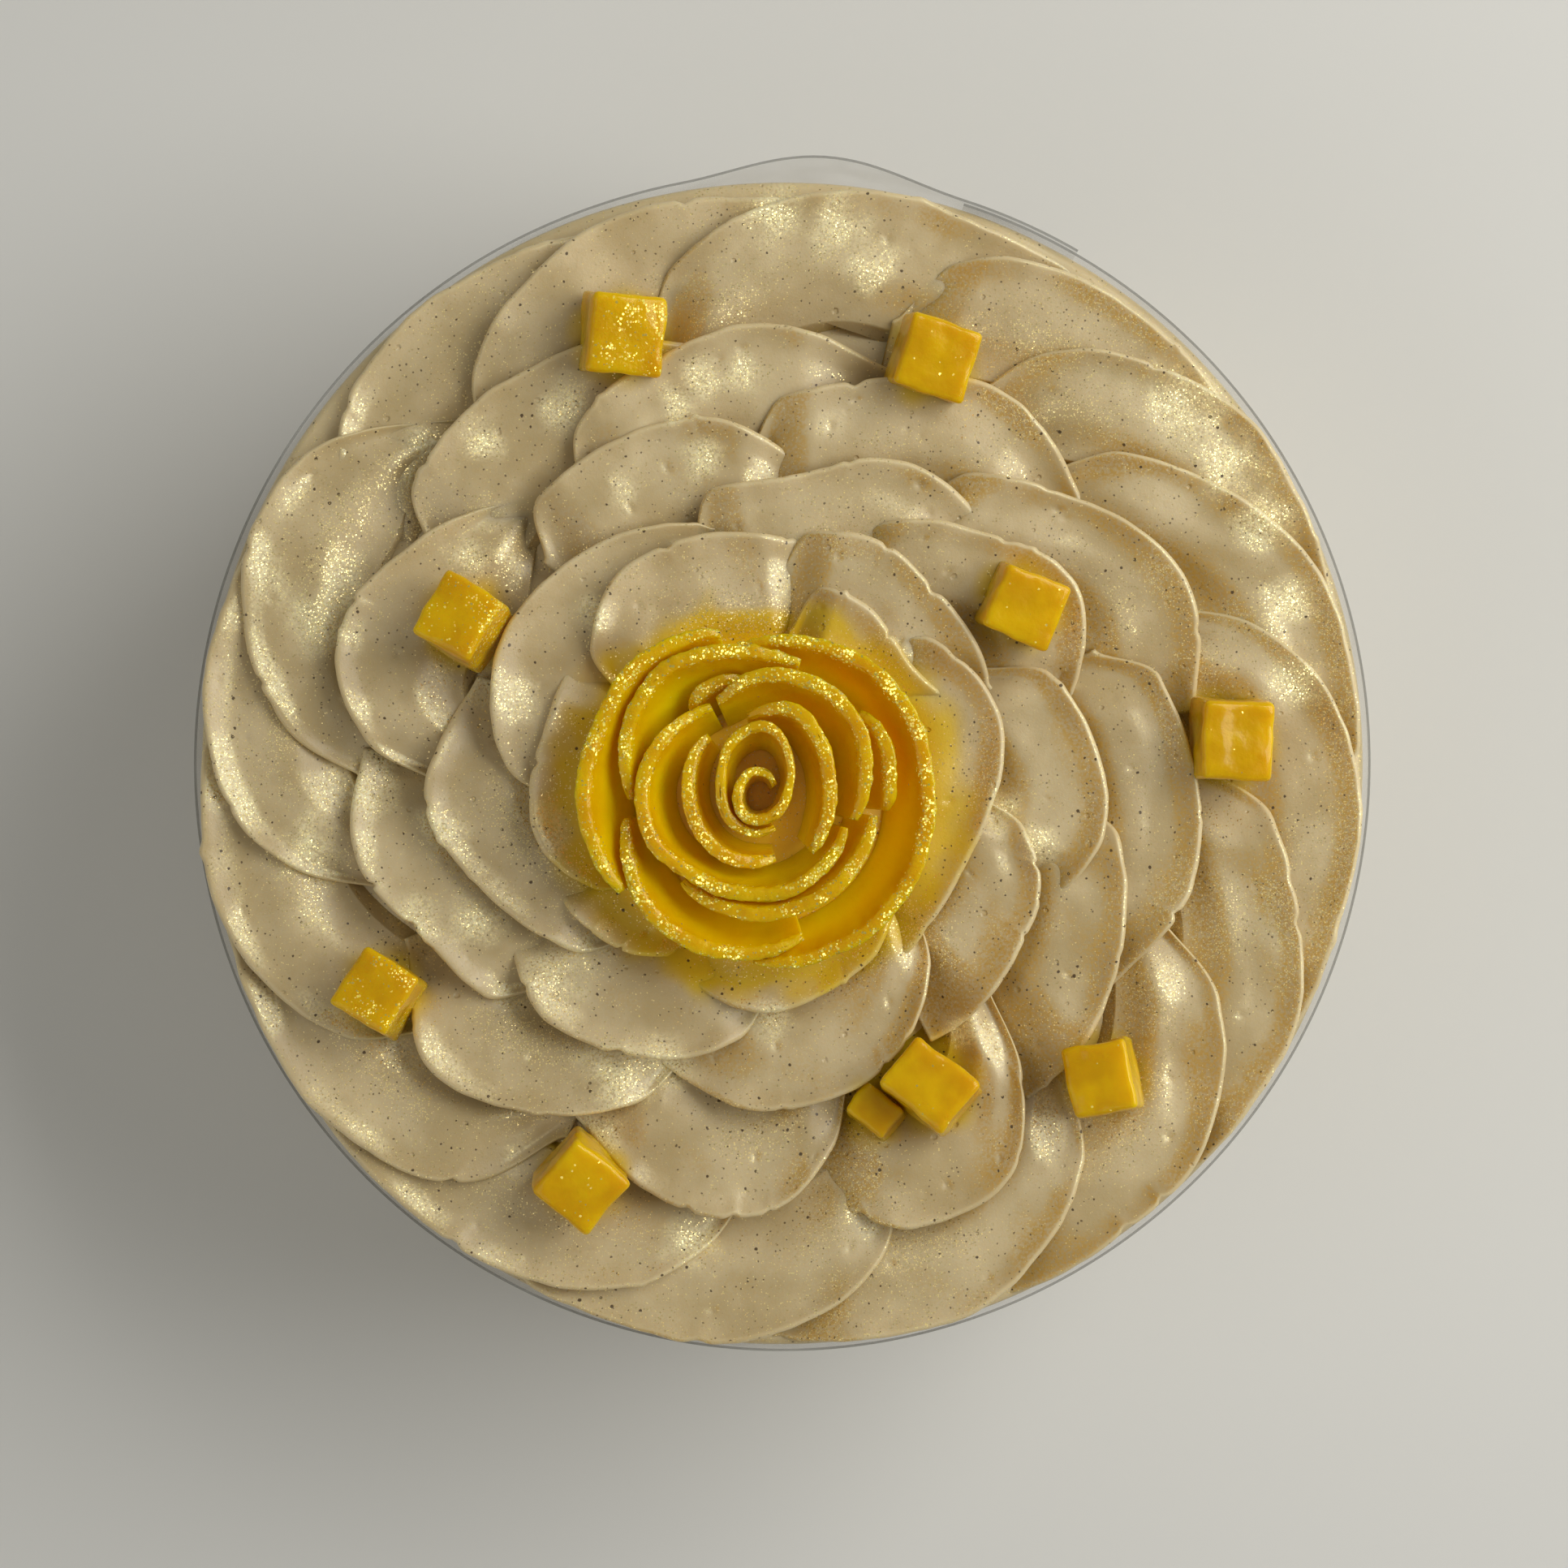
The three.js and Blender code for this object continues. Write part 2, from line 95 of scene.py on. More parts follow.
RIM_FIRST_PETAL_DIP = 2.8
FIRST_PETAL_RISE_FROM = 0.35
FIRST_PETAL_RISE_TO = 0.9
LAST_PETAL_END_PART = 0.4
LAST_PETAL_END_WIDTH = 0.15
SMALLEST_TURN = 5
ROOT_SPACING = 0.2
PETAL_STEPS_ALONG = 120
PETAL_STEPS_ROUND = 64

# The hand in the piping: waves, nicks and air pits, with lengths in millimetres
LIP_WAVE_DEPTH = 0.7
LIP_WAVE = 14
LIP_RIPPLE_DEPTH = 0.2
LIP_RIPPLE = 3.5
LIP_WAVES_FADE = 5
SWELL_ALONG_DEPTH = 0.5
SWELL_ALONG = 17
SWELL_FACE_DEPTH = 0.85
SWELL_FACE_ALONG = 12
SWELL_FACE_ACROSS = 8
SWELL_FADES_FROM = 9
SWELL_FADES_TO = 15
SWELL_FADES_BY = 0.8

# Nicks in each petal's lip; where they lie and their widths are parts of the petal's length
NICKS = 3
NICKS_ALONG = (0.15, 0.95)
NICK_WIDTHS = (0.008, 0.02)
NICK_DEPTHS = (-0.5, 0.9)

# Air pits in each petal's face: along it as parts of its length, and depths as parts of their sizes
PITS = 5
PITS_ALONG = (0.1, 0.9)
PIT_ACROSS = (2.5, 13)
PIT_SIZES = (0.4, 0.7)
PIT_DEPTHS = (-0.2, 1.0)
PIT_REACH = 2

# Petals in the order they were piped: start and end in degrees, then the lip's radius at even steps
OUTER_PETALS = [
    (154, 104, [86, 98, 101.5, 100, 97.5]),
    (135, 78, [82, 93.5, 99.5, 98.5, 98]),
    (109, 58, [83, 94, 100.5, 100.5, 100.5]),
    (76, 36, [88, 96.5, 100, 100, 100.5]),
    (64, 12, [78, 92, 100.5, 101.5, 101]),
    (49, -8, [76, 88, 99, 101, 101]),
    (23, -34, [79.5, 95, 101.5, 101, 101.5]),
    (0, -50, [82, 90.5, 100, 101.5, 101.5]),
    (-22, -70, [80, 93, 101, 101.5, 101.5]),
    (-47, -95, [82, 93.5, 101.5, 101.5, 101.5]),
    (-73, -122, [83, 95.5, 101.8, 101.8, 101.8]),
    (-92, -148, [78, 94.5, 101.5, 101.5, 101.8]),
    (-120, -168, [84, 96.5, 101.5, 101.5, 101.8]),
    (-142, -188, [85, 95, 101.8, 101.8, 101.8]),
    (-161, -214, [79, 95.5, 101.5, 101, 101]),
    (-177, -229, [80, 97, 100, 81]),
]
HALF_RING = 8
SECOND_PETALS = [
    (150, 96, [79, 82, 80, 72]),
    (128, 73, [66, 73, 76, 71]),
    (97, 39, [62, 68, 75, 69]),
    (64, 7, [57, 67, 77, 73]),
    (20, -38, [66, 71, 74, 68]),
    (-6, -54, [57, 64, 70, 73]),
    (-47, -87, [60, 81, 84, 76]),
    (-77, -122, [62, 78, 78, 71]),
    (-107, -155, [60, 73, 81, 73]),
    (-136, -182, [65, 68, 76, 73]),
    (-176, -230, [68, 80, 74, 62]),
]
THIRD_PETALS = [
    (140, 83, [62, 63, 61, 51]),
    (113, 44, [49, 49, 56, 53]),
    (76, 9, [42, 51, 59, 51]),
    (26, -33, [46, 53, 57, 50]),
    (-8, -62, [40, 49, 53, 55]),
    (-45, -115, [38, 54, 60, 56]),
    (-91, -154, [45, 55, 60, 55]),
    (-129, -196, [46, 54, 62, 55]),
    (-167, -270, [45, 53, 48, 39]),
]
INNER_PETALS = [
    (-116, -154, [38, 42, 44, 45]),
    (-136, -216, [36, 44, 41, 40]),
    (160, 72, [36, 43, 40, 37]),
    (93, 10, [39, 41, 39, 39]),
    (87, 8, [31, 30, 28, 33]),
    (55, -72, [31, 38.5, 36, 41]),
    (-43, -122, [29, 38, 43, 40]),
]

# The mango rose, with lengths in millimetres
ROSE_CENTRE = (-4, -6.3)
ROSE_TOP = 107
ROSE_FOOT_SCALE = 0.72
ROSE_OUTLINE = 32
ROSE_WELL_RADIUS = 33.2
SLICE_THICKNESS = 2.5
CURL_THICKNESS = 1.9
SLICE_END_DROP = 2.4
SLICE_END_TAPER = 0.45
SLICE_STEP = 0.6
SLICE_LEAST_STEPS = 24
SLICE_STEPS_ROUND = 56
SLICE_FROST_FROM = (0.88, 0.98)
# Painted light: where the bright glow painted low on each slice fades out, as parts of its height
SLICE_DEPTH_FROM = (0.3, 0.95)
CLEARANCE = 0.3

# How high or deep the unevenness of a slice is, and how long its waves are
SLICE_EDGE_WAVES = (0.5, 9)
SLICE_EDGE_RIPPLES = (0.22, 1.6)
SLICE_BENDS = (0.25, 8)
SLICE_RAGS = (0.3, 1.1)

# Slices from the outside in: start and end in degrees, the top edge's radius at even steps, and its drop
ROSE_SLICES = [
    (98, -92, [29.6, 30.7, 31.2, 30.6, 30.8, 31.1, 31], 2),
    (103, 214, [31.4, 31.3, 30.3, 30.2, 30.2], 0.5),
    (-72, -172, [27.4, 28, 28.3, 28.2, 27.6, 26.3, 25.4], 2),
    (73, 180, [26.3, 26.2, 27.3, 27.8, 26.8, 25, 23.7], 1),
    (128, 96, [22.8, 23.2, 23.5], 4),
    (41, -5, [25.4, 24.8, 24.2, 24], 2),
    (227, 352, [20.6, 20.5, 20.2, 20.1, 20.4, 20.8, 21.4], 1),
    (113, -12, [19.3, 21.2, 22.1, 21, 18.9, 17.5], 0),
    (117, 342, [19.3, 20.2, 20.7, 19.8, 17.6, 16.8, 16.7, 16.8, 16.7], 1),
    (128, 286, [15.3, 13.6, 12.1, 11.9, 11.6, 11.6], 2),
    (98, -45, [15.3, 16.5, 14.2, 12.5, 12.4, 13.2], 0),
    (300, -320, [5.8, 5.9, 6.1, 6.2, 6.6, 7.8, 10.9, 12.4, 8.5, 5.4, 4.4,
                  3.8, 3.5, 3.5, 3.6, 3.6, 3.8, 4.3, 4.9, 4.6, 3.7], 0),
]

# The mango cubes, in the order of their nodes: three sides, then turn and lean in degrees
CUBES = [
    ((13.2, 14, 12), -4, 14),
    ((13, 13, 12), -17, 8),
    ((12.4, 11.8, 11), -22, 10),
    ((12, 12.4, 12), -30, -12),
    ((12.4, 14, 12), -2, 8),
    ((11.6, 12, 12), -32, -8),
    ((14.4, 11.2, 12), -38, -9),
    ((11.4, 12.4, 12), 13, -12),
    ((12.6, 12.4, 12), -41, 9),
    ((8.4, 6.6, 9), -38, -9),
]
CUBE_FROST = (0.7, 0.03, 0.02, 0.9, 0.02, 0.9, 0.04, 0.06, 0.04, 0)
CUBE_FROST_FACES = (0.62, -0.1, 0.78)
CUBE_FROST_FROM = (0.5, 0.85)
CUBE_ROUNDING = 0.85
CUBE_CUTS = 17
CUBE_SHRUNK = 0.98
CUBE_BENDS = (8, 0.55)
CUBE_DENTS = (2.6, 0.2)

# Blender seeds its vector noise by the clock; a fixed seed gives the same cubes in every run
NOISE_SEED = 5

# The film strip, in millimetres and degrees
FILM_THICKNESS = 0.4
FILM_INNER_RADIUS = 102.6
FILM_BOTTOM = 0.5
FILM_TOP = 80.5
FILM_START = 72
FILM_LAP = 12
LAP_RISE_FROM = 320
LAP_RISE_TO = 350
BULGE_FROM = 100
BULGE_DEPTH = 2.9
BULGE_AT_FOOT = 0.3
FILM_SECTION = [(0, 0), (0, 0.33), (0, 0.66), (0, 1), (1, 1), (1, 0.66), (1, 0.33), (1, 0), (0, 0)]

# Colours, as linear red, green and blue
CREAM_COLOUR = (0.63, 0.52, 0.32)
CREAM_DEEP = (0.50, 0.395, 0.215)
# Painted highlight: the paler colour painted along each petal's thin lip
CREAM_LIP_HIGHLIGHT = (0.76, 0.64, 0.40)
# Gold powder's tint, also painted as shade on the slopes turned away from the window
GOLD_AND_SHADE_TINT = (0.58, 0.36, 0.075)
JUICE_COLOUR = (0.68, 0.47, 0.006)
SPECK_COLOUR = (0.06, 0.032, 0.012)
# Painted highlight: the pale gold painted where the cream faces the light
HIGHLIGHT_PALE_GOLD = (1.0, 0.90, 0.58)
GOLD_FLAKE = (1.0, 0.82, 0.38)
GOLD_ON_FRUIT = (1.0, 0.80, 0.20)
MANGO_COLOUR = (0.74, 0.465, 0.0005)
MANGO_DEEP = (0.64, 0.36, 0.0005)
# Painted light: a bright glow colour painted into the shaded gaps of the rose and its well
MANGO_GLOW = (1.0, 0.66, 0.002)
FILM_COLOUR = (0.62, 0.62, 0.60)
# Painted shade: the dark grey painted on the film's clear cut edge
FILM_EDGE_SHADE = (0.26, 0.26, 0.24)
FLOOR_COLOUR = (0.72, 0.72, 0.71)

# What is too fine for the mesh, in metres
LARGE_SPECKS = {"Spacing": 0.0028, "Radius": 0.0003, "Softness": 0.25}
SMALL_SPECKS = {"Spacing": 0.0013, "Radius": 0.00021, "Softness": 0.4}
AIR_PITS = {"Spacing": 0.0055, "Radius": 0.0006, "Softness": 0.6}
RELIEF_DEPTH = 0.0005
CREAM_FLAKE_SIZE = 0.00028
MANGO_FLAKE_SIZE = 0.00045


# Sums that the shapes share

def through(values, t):
    """A smooth curve through values spaced evenly from 0 to 1."""
    place = min(max(t, 0.0), 1.0) * (len(values) - 1)
    i = min(int(place), len(values) - 2)
    f = place - i
    before = values[max(i - 1, 0)]
    after = values[min(i + 2, len(values) - 1)]
    a = values[i]
    b = values[i + 1]
    slope_a = (b - before) / 2
    slope_b = (after - a) / 2
    cubic = 2 * (a - b) + slope_a + slope_b
    square = 3 * (b - a) - 2 * slope_a - slope_b
    return a + f * (slope_a + f * (square + f * cubic))


def smoothstep(x, low, high):
    f = min(max((x - low) / (high - low), 0.0), 1.0)
    return f * f * (3 - 2 * f)


def smooth_steps(x, low, high):
    """The same ramp for a whole array."""
    f = np.clip((x - low) / (high - low), 0, 1)
    return f * f * (3 - 2 * f)


def mix(a, b, t):
    return a + (b - a) * t


def wobble(x, seed, reach):
    """Smooth noise between about -1 and 1 along one number; reach is the length of a wave."""
    return noise.noise(Vector((x / reach, seed * 7.31, 0.5)))


def wave(x, seed, depth_and_reach):
    """A wobble as high as its depth, from a pair of depth and reach."""
    depth, reach = depth_and_reach
    return depth * wobble(x, seed, reach)


def cone_height(radius):
    return RIM_HEIGHT + CONE_SLOPE * (RIM_RADIUS - radius)


# Making pieces

def new_piece(name, bm, *nodes, slot):
    """A finished bmesh as a smooth piece that rides on the cake and stands for its CAD nodes."""
    mesh = bpy.data.meshes.new(name)
    bm.to_mesh(mesh)
    bm.free()
    mesh.shade_smooth()
    piece = bpy.data.objects.new(name, mesh)
    bpy.context.collection.objects.link(piece)
    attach(piece, "root")
    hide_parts(*nodes)
    return piece


def close_ends(bm):
    """Merges the seam of a rolled grid, fills its open ends and turns its faces outwards."""
    bmesh.ops.remove_doubles(bm, verts=bm.verts, dist=1e-7)
    rims = [edge for edge in bm.edges if edge.is_boundary]
    bmesh.ops.holes_fill(bm, edges=rims, sides=0)
    bmesh.ops.recalc_face_normals(bm, faces=bm.faces)


def rolled_grid(bm, steps_along, steps_round, place):
    """A grid rolled into a closed body: place(t, s) gives each point, and how far across the piece it is."""
    across = bm.verts.layers.float.new("across")
    grid = bmesh.ops.create_grid(bm, x_segments=steps_along, y_segments=steps_round, size=0.5)
    for vert in grid["verts"]:
        vert.co, vert[across] = place(vert.co.x + 0.5, vert.co.y + 0.5)


def attribute(piece, name, values):
    """Keeps one number per vertex, for the piece's material."""
    layer = piece.data.attributes.new(name, "FLOAT", "POINT")
    layer.data.foreach_set("value", np.asarray(values, dtype=np.float32))


def points_and_normals(piece):
    count = len(piece.data.vertices)
    points = np.empty(count * 3)
    normals = np.empty(count * 3)
    piece.data.vertices.foreach_get("co", points)
    piece.data.vertices.foreach_get("normal", normals)
    return points.reshape(-1, 3) / MM, normals.reshape(-1, 3)


# Cream

def section_point(s):
    """The petal's cross-section at s, from 0 at the root underneath to 1 at the root on top."""
    return max(through(SECTION_INWARD, s), 0.0), through(SECTION_RISE, s)


def petal_flaws(rng):
    """Nicks in a petal's lip, as places along it, widths and depths, and air pits with where they lie."""
    nicks = []
    for _ in range(NICKS):
        nicks.append((rng.uniform(*NICKS_ALONG), rng.uniform(*NICK_WIDTHS), rng.uniform(*NICK_DEPTHS)))
    pits = []
    for _ in range(PITS):
        size = rng.uniform(*PIT_SIZES)
        along = rng.uniform(*PITS_ALONG)
        pits.append((along, rng.uniform(*PIT_ACROSS), size, size * rng.uniform(*PIT_DEPTHS)))
    return nicks, pits


def lip_radius(petal, t):
    """The radius of a petal's lip, which sweeps out from under the next ring at its start."""
    swept = smoothstep(t, 0, START_SWEEP_PART)
    return through(petal[2], t) - START_SWEEP * (1 - swept) ** START_SWEEP_SHARPNESS


def lip_height(petal, t, lowered):
    """How high a petal's lip stands: it climbs from the crease, sinks as it goes and dips at its end."""
    radius = through(petal[2], t)
    climbing = 1 - smoothstep(t, 0, START_DIP_PART)
    ending = smoothstep(t, 1 - END_DIP_PART, 1)
    risen = smoothstep(t, FIRST_PETAL_RISE_FROM, FIRST_PETAL_RISE_TO)
    level = cone_height(mix(radius, max(petal[2]), PETAL_LEVEL)) + PETAL_LIFT * (0.5 - t)
    return level - START_DIP * climbing - END_DIP * ending - lowered * (1 - risen)


def clear_of_rose(point):
    """Moves a point of the cream out to the wall of the hollow that the rose stands in."""
    leaning = ROSE_FOOT_SCALE + (1 - ROSE_FOOT_SCALE) * (point.z - ROSE_FLOOR) / (ROSE_TOP - ROSE_FLOOR)
    wall = ROSE_WELL_RADIUS * min(max(leaning, ROSE_FOOT_SCALE), 1)
    away = Vector((point.x - ROSE_CENTRE[0], point.y - ROSE_CENTRE[1], 0))
    if away.length < wall:
        point += away.normalized() * (wall - away.length)
    return point


def lip_waves(travelled, t, seed, nicks):
    """How far the lip bulges where it has travelled so far: waves, ripples and nicks."""
    waves = LIP_WAVE_DEPTH * wobble(travelled, seed, LIP_WAVE)
    waves += LIP_RIPPLE_DEPTH * wobble(travelled, seed + 50, LIP_RIPPLE)
    for spot, spread, depth in nicks:
        waves -= depth * math.exp(-((t - spot) / spread) ** 2)
    return waves


def face_swell(travelled, inward, seed):
    """The soft waves in a petal's face, which fade towards its root."""
    swell = SWELL_ALONG_DEPTH * wobble(travelled, seed + 20, SWELL_ALONG)
    where = Vector((travelled / SWELL_FACE_ALONG, inward / SWELL_FACE_ACROSS, seed * 3.7))
    swell += SWELL_FACE_DEPTH * noise.noise(where)
    return swell * (1 - SWELL_FADES_BY * smoothstep(inward, SWELL_FADES_FROM, SWELL_FADES_TO))


def petal_place(petal, seed, lowered, last):
    """The function that lays a grid on one petal."""
    start, end, lip = petal
    nicks, pits = petal_flaws(random.Random(seed))
    length = math.radians(start - end) * through(lip, 0.5)

    def place(t, s):
        inward, rise = section_point(s)
        travelled = t * length
        near_lip = math.exp(-inward / LIP_WAVES_FADE)
        edge = lip_radius(petal, t) + near_lip * lip_waves(travelled, t, seed, nicks)
        narrowing = smoothstep(t, 1 - LAST_PETAL_END_PART, 1) if last else 0
        width = mix(1, LAST_PETAL_END_WIDTH, narrowing)
        least = SMALLEST_TURN + ROOT_SPACING * (PETAL_WIDTH - inward)
        radius = max(edge - inward * width, least)
        angle = math.radians(mix(start, end, t))
        z = lip_height(petal, t, lowered) + rise + face_swell(travelled, inward, seed)
        for spot, across, size, depth in pits:
            away = ((t - spot) * length) ** 2 + (inward - across) ** 2
            if away < PIT_REACH ** 2:
                z -= depth * math.exp(-away / size ** 2)
        point = clear_of_rose(Vector((radius * math.cos(angle), radius * math.sin(angle), z)))
        return point * MM, inward

    return place


def make_petals(name, petals, first_seed, first_lowered=FIRST_PETAL_DIP, closes_ring=True):
    """A run of petals, each a closed ribbon of its own; a ring's first petal lies low under its last."""
    whole = bmesh.new()
    whole.verts.layers.float.new("across")
    for number, petal in enumerate(petals):
        lowered = first_lowered if number == 0 else 0
        last = closes_ring and number == len(petals) - 1
        bm = bmesh.new()
        place = petal_place(petal, first_seed + number, lowered, last)
        rolled_grid(bm, PETAL_STEPS_ALONG, PETAL_STEPS_ROUND, place)
        close_ends(bm)
        ribbon = bpy.data.meshes.new("ribbon")
        bm.to_mesh(ribbon)
        bm.free()
        whole.from_mesh(ribbon)
        bpy.data.meshes.remove(ribbon)
    return new_piece(name, whole, "cake", slot="cream")


def spin_outline(bm, outline, centre, steps):
    """Turns an outline of radii and heights round an upright line, into a closed body."""
    x, y = centre
    verts = [bm.verts.new(Vector((x + radius, y, height)) * MM) for radius, height in outline]
    edges = [bm.edges.new(pair) for pair in zip(verts, verts[1:])]
    middle = Vector((x, y, 0)) * MM
    whole = {"angle": 2 * math.pi, "steps": steps, "use_merge": True}
    bmesh.ops.spin(bm, geom=verts + edges, cent=middle, axis=(0, 0, 1), **whole)


def body_top(radius):
    """The height of the cream body that the petals lie on."""
    return cone_height(radius) - BODY_BELOW_PETALS


def coat_outline():
    """Radii and heights of the coated cake, from the middle of its foot round to the middle of its top."""
    outline = [(0, 0), (60, 0), (COAT_RADIUS - 1.2, 0), (COAT_RADIUS - 0.3, 0.4), (COAT_RADIUS, 1.3)]
    for row in range(COAT_ROWS):
        outline.append((COAT_RADIUS, mix(1.3, COAT_HEIGHT - 1.4, (row + 1) / COAT_ROWS)))
    outline += [(COAT_RADIUS - 0.4, COAT_HEIGHT - 0.35), (COAT_RADIUS - 1.4, COAT_HEIGHT)]
    outline += [(98.5, COAT_HEIGHT), (96, COAT_HEIGHT - 0.4), (93, 78.6), (90, body_top(90))]
    outline += [(radius, body_top(radius)) for radius in range(84, 29, -6)]
    outline += [(14, body_top(30)), (0, body_top(30))]
    return outline


def bed_outline():
    """Radii and heights of the round bed of cream that the rose stands on."""
    bed = [(0, ROSE_BED_BOTTOM), (ROSE_BED_RADIUS, ROSE_BED_BOTTOM), (ROSE_BED_RADIUS, ROSE_FLOOR - 1)]
    return bed + [(ROSE_BED_RADIUS - 1, ROSE_FLOOR), (ROSE_BED_RADIUS / 2, ROSE_FLOOR), (0, ROSE_FLOOR)]


def smear_coat(bm):
    """Makes the side a little uneven, inward only, and lets its top edge rise and fall."""
    for vert in bm.verts:
        radius = math.hypot(vert.co.x, vert.co.y)
        if radius > SMEARED_OUTSIDE * MM and vert.co.z > SMEARED_ABOVE * MM:
            angle = math.atan2(vert.co.y, vert.co.x)
            where = Vector((3 * math.cos(angle), 3 * math.sin(angle), vert.co.z / MM / SMEAR_HEIGHT))
            shrink = SMEAR_DEPTH * MM * (0.5 + 0.5 * noise.noise(where))
            vert.co.x -= shrink * vert.co.x / radius
            vert.co.y -= shrink * vert.co.y / radius
            if vert.co.z > TOP_EDGE_ABOVE * MM:
                vert.co.z += TOP_EDGE_WAVE * MM * noise.noise(where * 2)


def make_coat():
    """The coated cake under the petals and the rose's bed, each spun from its outline."""
    bm = bmesh.new()
    spin_outline(bm, coat_outline(), (0, 0), COAT_STEPS)
    spin_outline(bm, bed_outline(), ROSE_CENTRE, BED_STEPS)
    bmesh.ops.remove_doubles(bm, verts=bm.verts, dist=1e-7)
    smear_coat(bm)
    bmesh.ops.recalc_face_normals(bm, faces=bm.faces)
    return new_piece("cream_coat", bm, "cake", slot="cream")


# Where gold was dusted and shade is painted, where highlights are painted, where mango juice has run into
# the cream, and the painted glow in the rose's well; lengths are in millimetres

# Painted shade: slopes turned away from the window, on the right of the cake, get a deeper golden-tan tint;
# the same number also places sprayed gold dust
SHADED_AND_DUSTED_SLOPE = Vector((-0.88, -0.30, 0.36)).normalized()
SHADE_AND_DUST_FADES_IN = (0.38, 0.62)
SHADED_AND_DUSTED_SIDE = (-70, 20)
# Painted highlight: cream turned toward this slope, halfway between the window and the camera, is painted
# pale gold
HIGHLIGHT_SLOPE = Vector((0.43, 0.16, 0.89)).normalized()
HIGHLIGHT_FADES_IN = (0.92, 0.99)
HIGHLIGHT_CLOUDS = 10
HIGHLIGHT_EDGE = 3.5
GOLD_LEANS = (0.48, 0.18, 0.0)
JUICE_REACH = 3.5
JUICE_WAVES = 5
WELL_FADES_IN = (-6.0, -2.0)

# The places and widths of the painted highlights: patches painted pale gold, where gold flakes also lie
# thicker and lean toward the light
HIGHLIGHT_SPOTS = [
    (70, 62, 8), (77, 52, 7), (84, 42, 6), (88, 28, 5), (89, 14, 5), (-2, 96, 6), (10, 93, 6),
    (16, 86, 5), (-14, 66, 4), (-18, 62, 4), (-39, 61, 4), (-52, 56, 4), (31, -47, 4), (44, -14, 4),
    (38, -8, 4), (-20, -52, 5), (-82, -15, 6), (-59, -11, 5), (-73, -5, 6), (-64, -28, 6), (-53, -28, 5),
    (-39, -37, 6), (-28, -54, 7), (-32, -64, 5), (-16, -83, 5), (-2, -44, 4), (-80, 25, 6), (-63, 56, 4),
    (-37, 63, 4), (-7, 67, 4), (-14, 53, 4), (-32, 25, 4), (-50, 13, 5), (-54, 35, 4),
]


def cube_spots():
    """The middle of each cube and half its width, in millimetres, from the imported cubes."""
    spots = []
    for number, (sides, _, _) in enumerate(CUBES, start=1):
        low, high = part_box(f"mango_cube_{number}")
        middle = (Vector(low) + Vector(high)) / 2 / MM
        spots.append((middle, max(sides[:2]) / 2))
    return spots


def noise_at(points, reach):
    """Smooth noise for an array of points; reach is the length of a wave."""
    return np.array([noise.noise(Vector(point) / reach) for point in points])


def distance_from(points, x, y):
    return np.hypot(points[:, 0] - x, points[:, 1] - y)


def glitter_and_highlight_on(points, normals):
    """How thick the gold glitter lies, and where highlights are painted: in clouds on what faces the light,
    and in the bright patches.
    """
    clouds = smooth_steps(noise_at(points, HIGHLIGHT_CLOUDS), -0.25, 0.15)
    glitter_and_highlight = 0.85 * clouds * smooth_steps(normals @ np.array(HIGHLIGHT_SLOPE), *HIGHLIGHT_FADES_IN)
    ragged = noise_at(points, HIGHLIGHT_EDGE)
    for x, y, reach in HIGHLIGHT_SPOTS:
        away = distance_from(points, x, y) / reach + 0.5 * ragged
        glitter_and_highlight = np.maximum(glitter_and_highlight, 1 - smooth_steps(away, 0.1, 1.3))
    return glitter_and_highlight


def juice_in(points):
    """How much mango juice has run into the cream round each cube and round the rose."""
    rough = noise_at(points, JUICE_WAVES)
    juice = np.zeros(len(points))
    for middle, half in cube_spots():
        away = distance_from(points, middle.x, middle.y) - half
        juice = np.maximum(juice, 1 - smooth_steps(away + 1.5 * rough, -1.0, JUICE_REACH))
    away = distance_from(points, *ROSE_CENTRE) - ROSE_OUTLINE
    sideways = 1.5 + 1.5 * np.abs(points[:, 0] - ROSE_CENTRE[0]) / ROSE_OUTLINE
    return np.maximum(juice, 1 - smooth_steps(away + 3 * rough, 0.0, JUICE_REACH * sideways / 1.6))


def paint_cream(piece):
    """Numbers that the cream's material reads: gold dust that also marks painted shade, glitter that also
    marks painted highlights, juice, and the painted glow on the shaded floor of the rose's well.
    """
    points, normals = points_and_normals(piece)
    # Painted shade and gold dust: how far each point faces away from the window, on the right of the cake
    dust = smooth_steps(normals @ np.array(SHADED_AND_DUSTED_SLOPE), *SHADE_AND_DUST_FADES_IN)
    attribute(piece, "dust", dust * smooth_steps(points[:, 0], *SHADED_AND_DUSTED_SIDE))
    # Painted highlight and gold glitter: where the cream is painted pale gold and its flakes lie thicker
    attribute(piece, "glitter_and_highlight", glitter_and_highlight_on(points, normals))
    attribute(piece, "juice", juice_in(points))
    # Painted light: the floor of the rose's well is marked to be painted with the mango glow
    away = distance_from(points, *ROSE_CENTRE) - ROSE_OUTLINE
    attribute(piece, "well", 1 - smooth_steps(away, *WELL_FADES_IN))


# Mango

# A slice's cross-section, round from its foot: how far to either side in half thicknesses, and how far up
SLICE_SIDE = (-0.8, -1, -1, -1, -1.04, -1.02, -0.75, 0, 0.75, 1.02, 1.04, 1, 1, 1, 0.8, 0, -0.8)
SLICE_RISE = (0, 0.05, 0.3, 0.6, 0.85, 0.955, 0.992, 1, 0.992, 0.955, 0.85, 0.6, 0.3, 0.05, 0, 0, 0)


def slice_length(rose_slice):
    start, end, radii, _ = rose_slice
    return abs(math.radians(end - start)) * through(radii, 0.5)


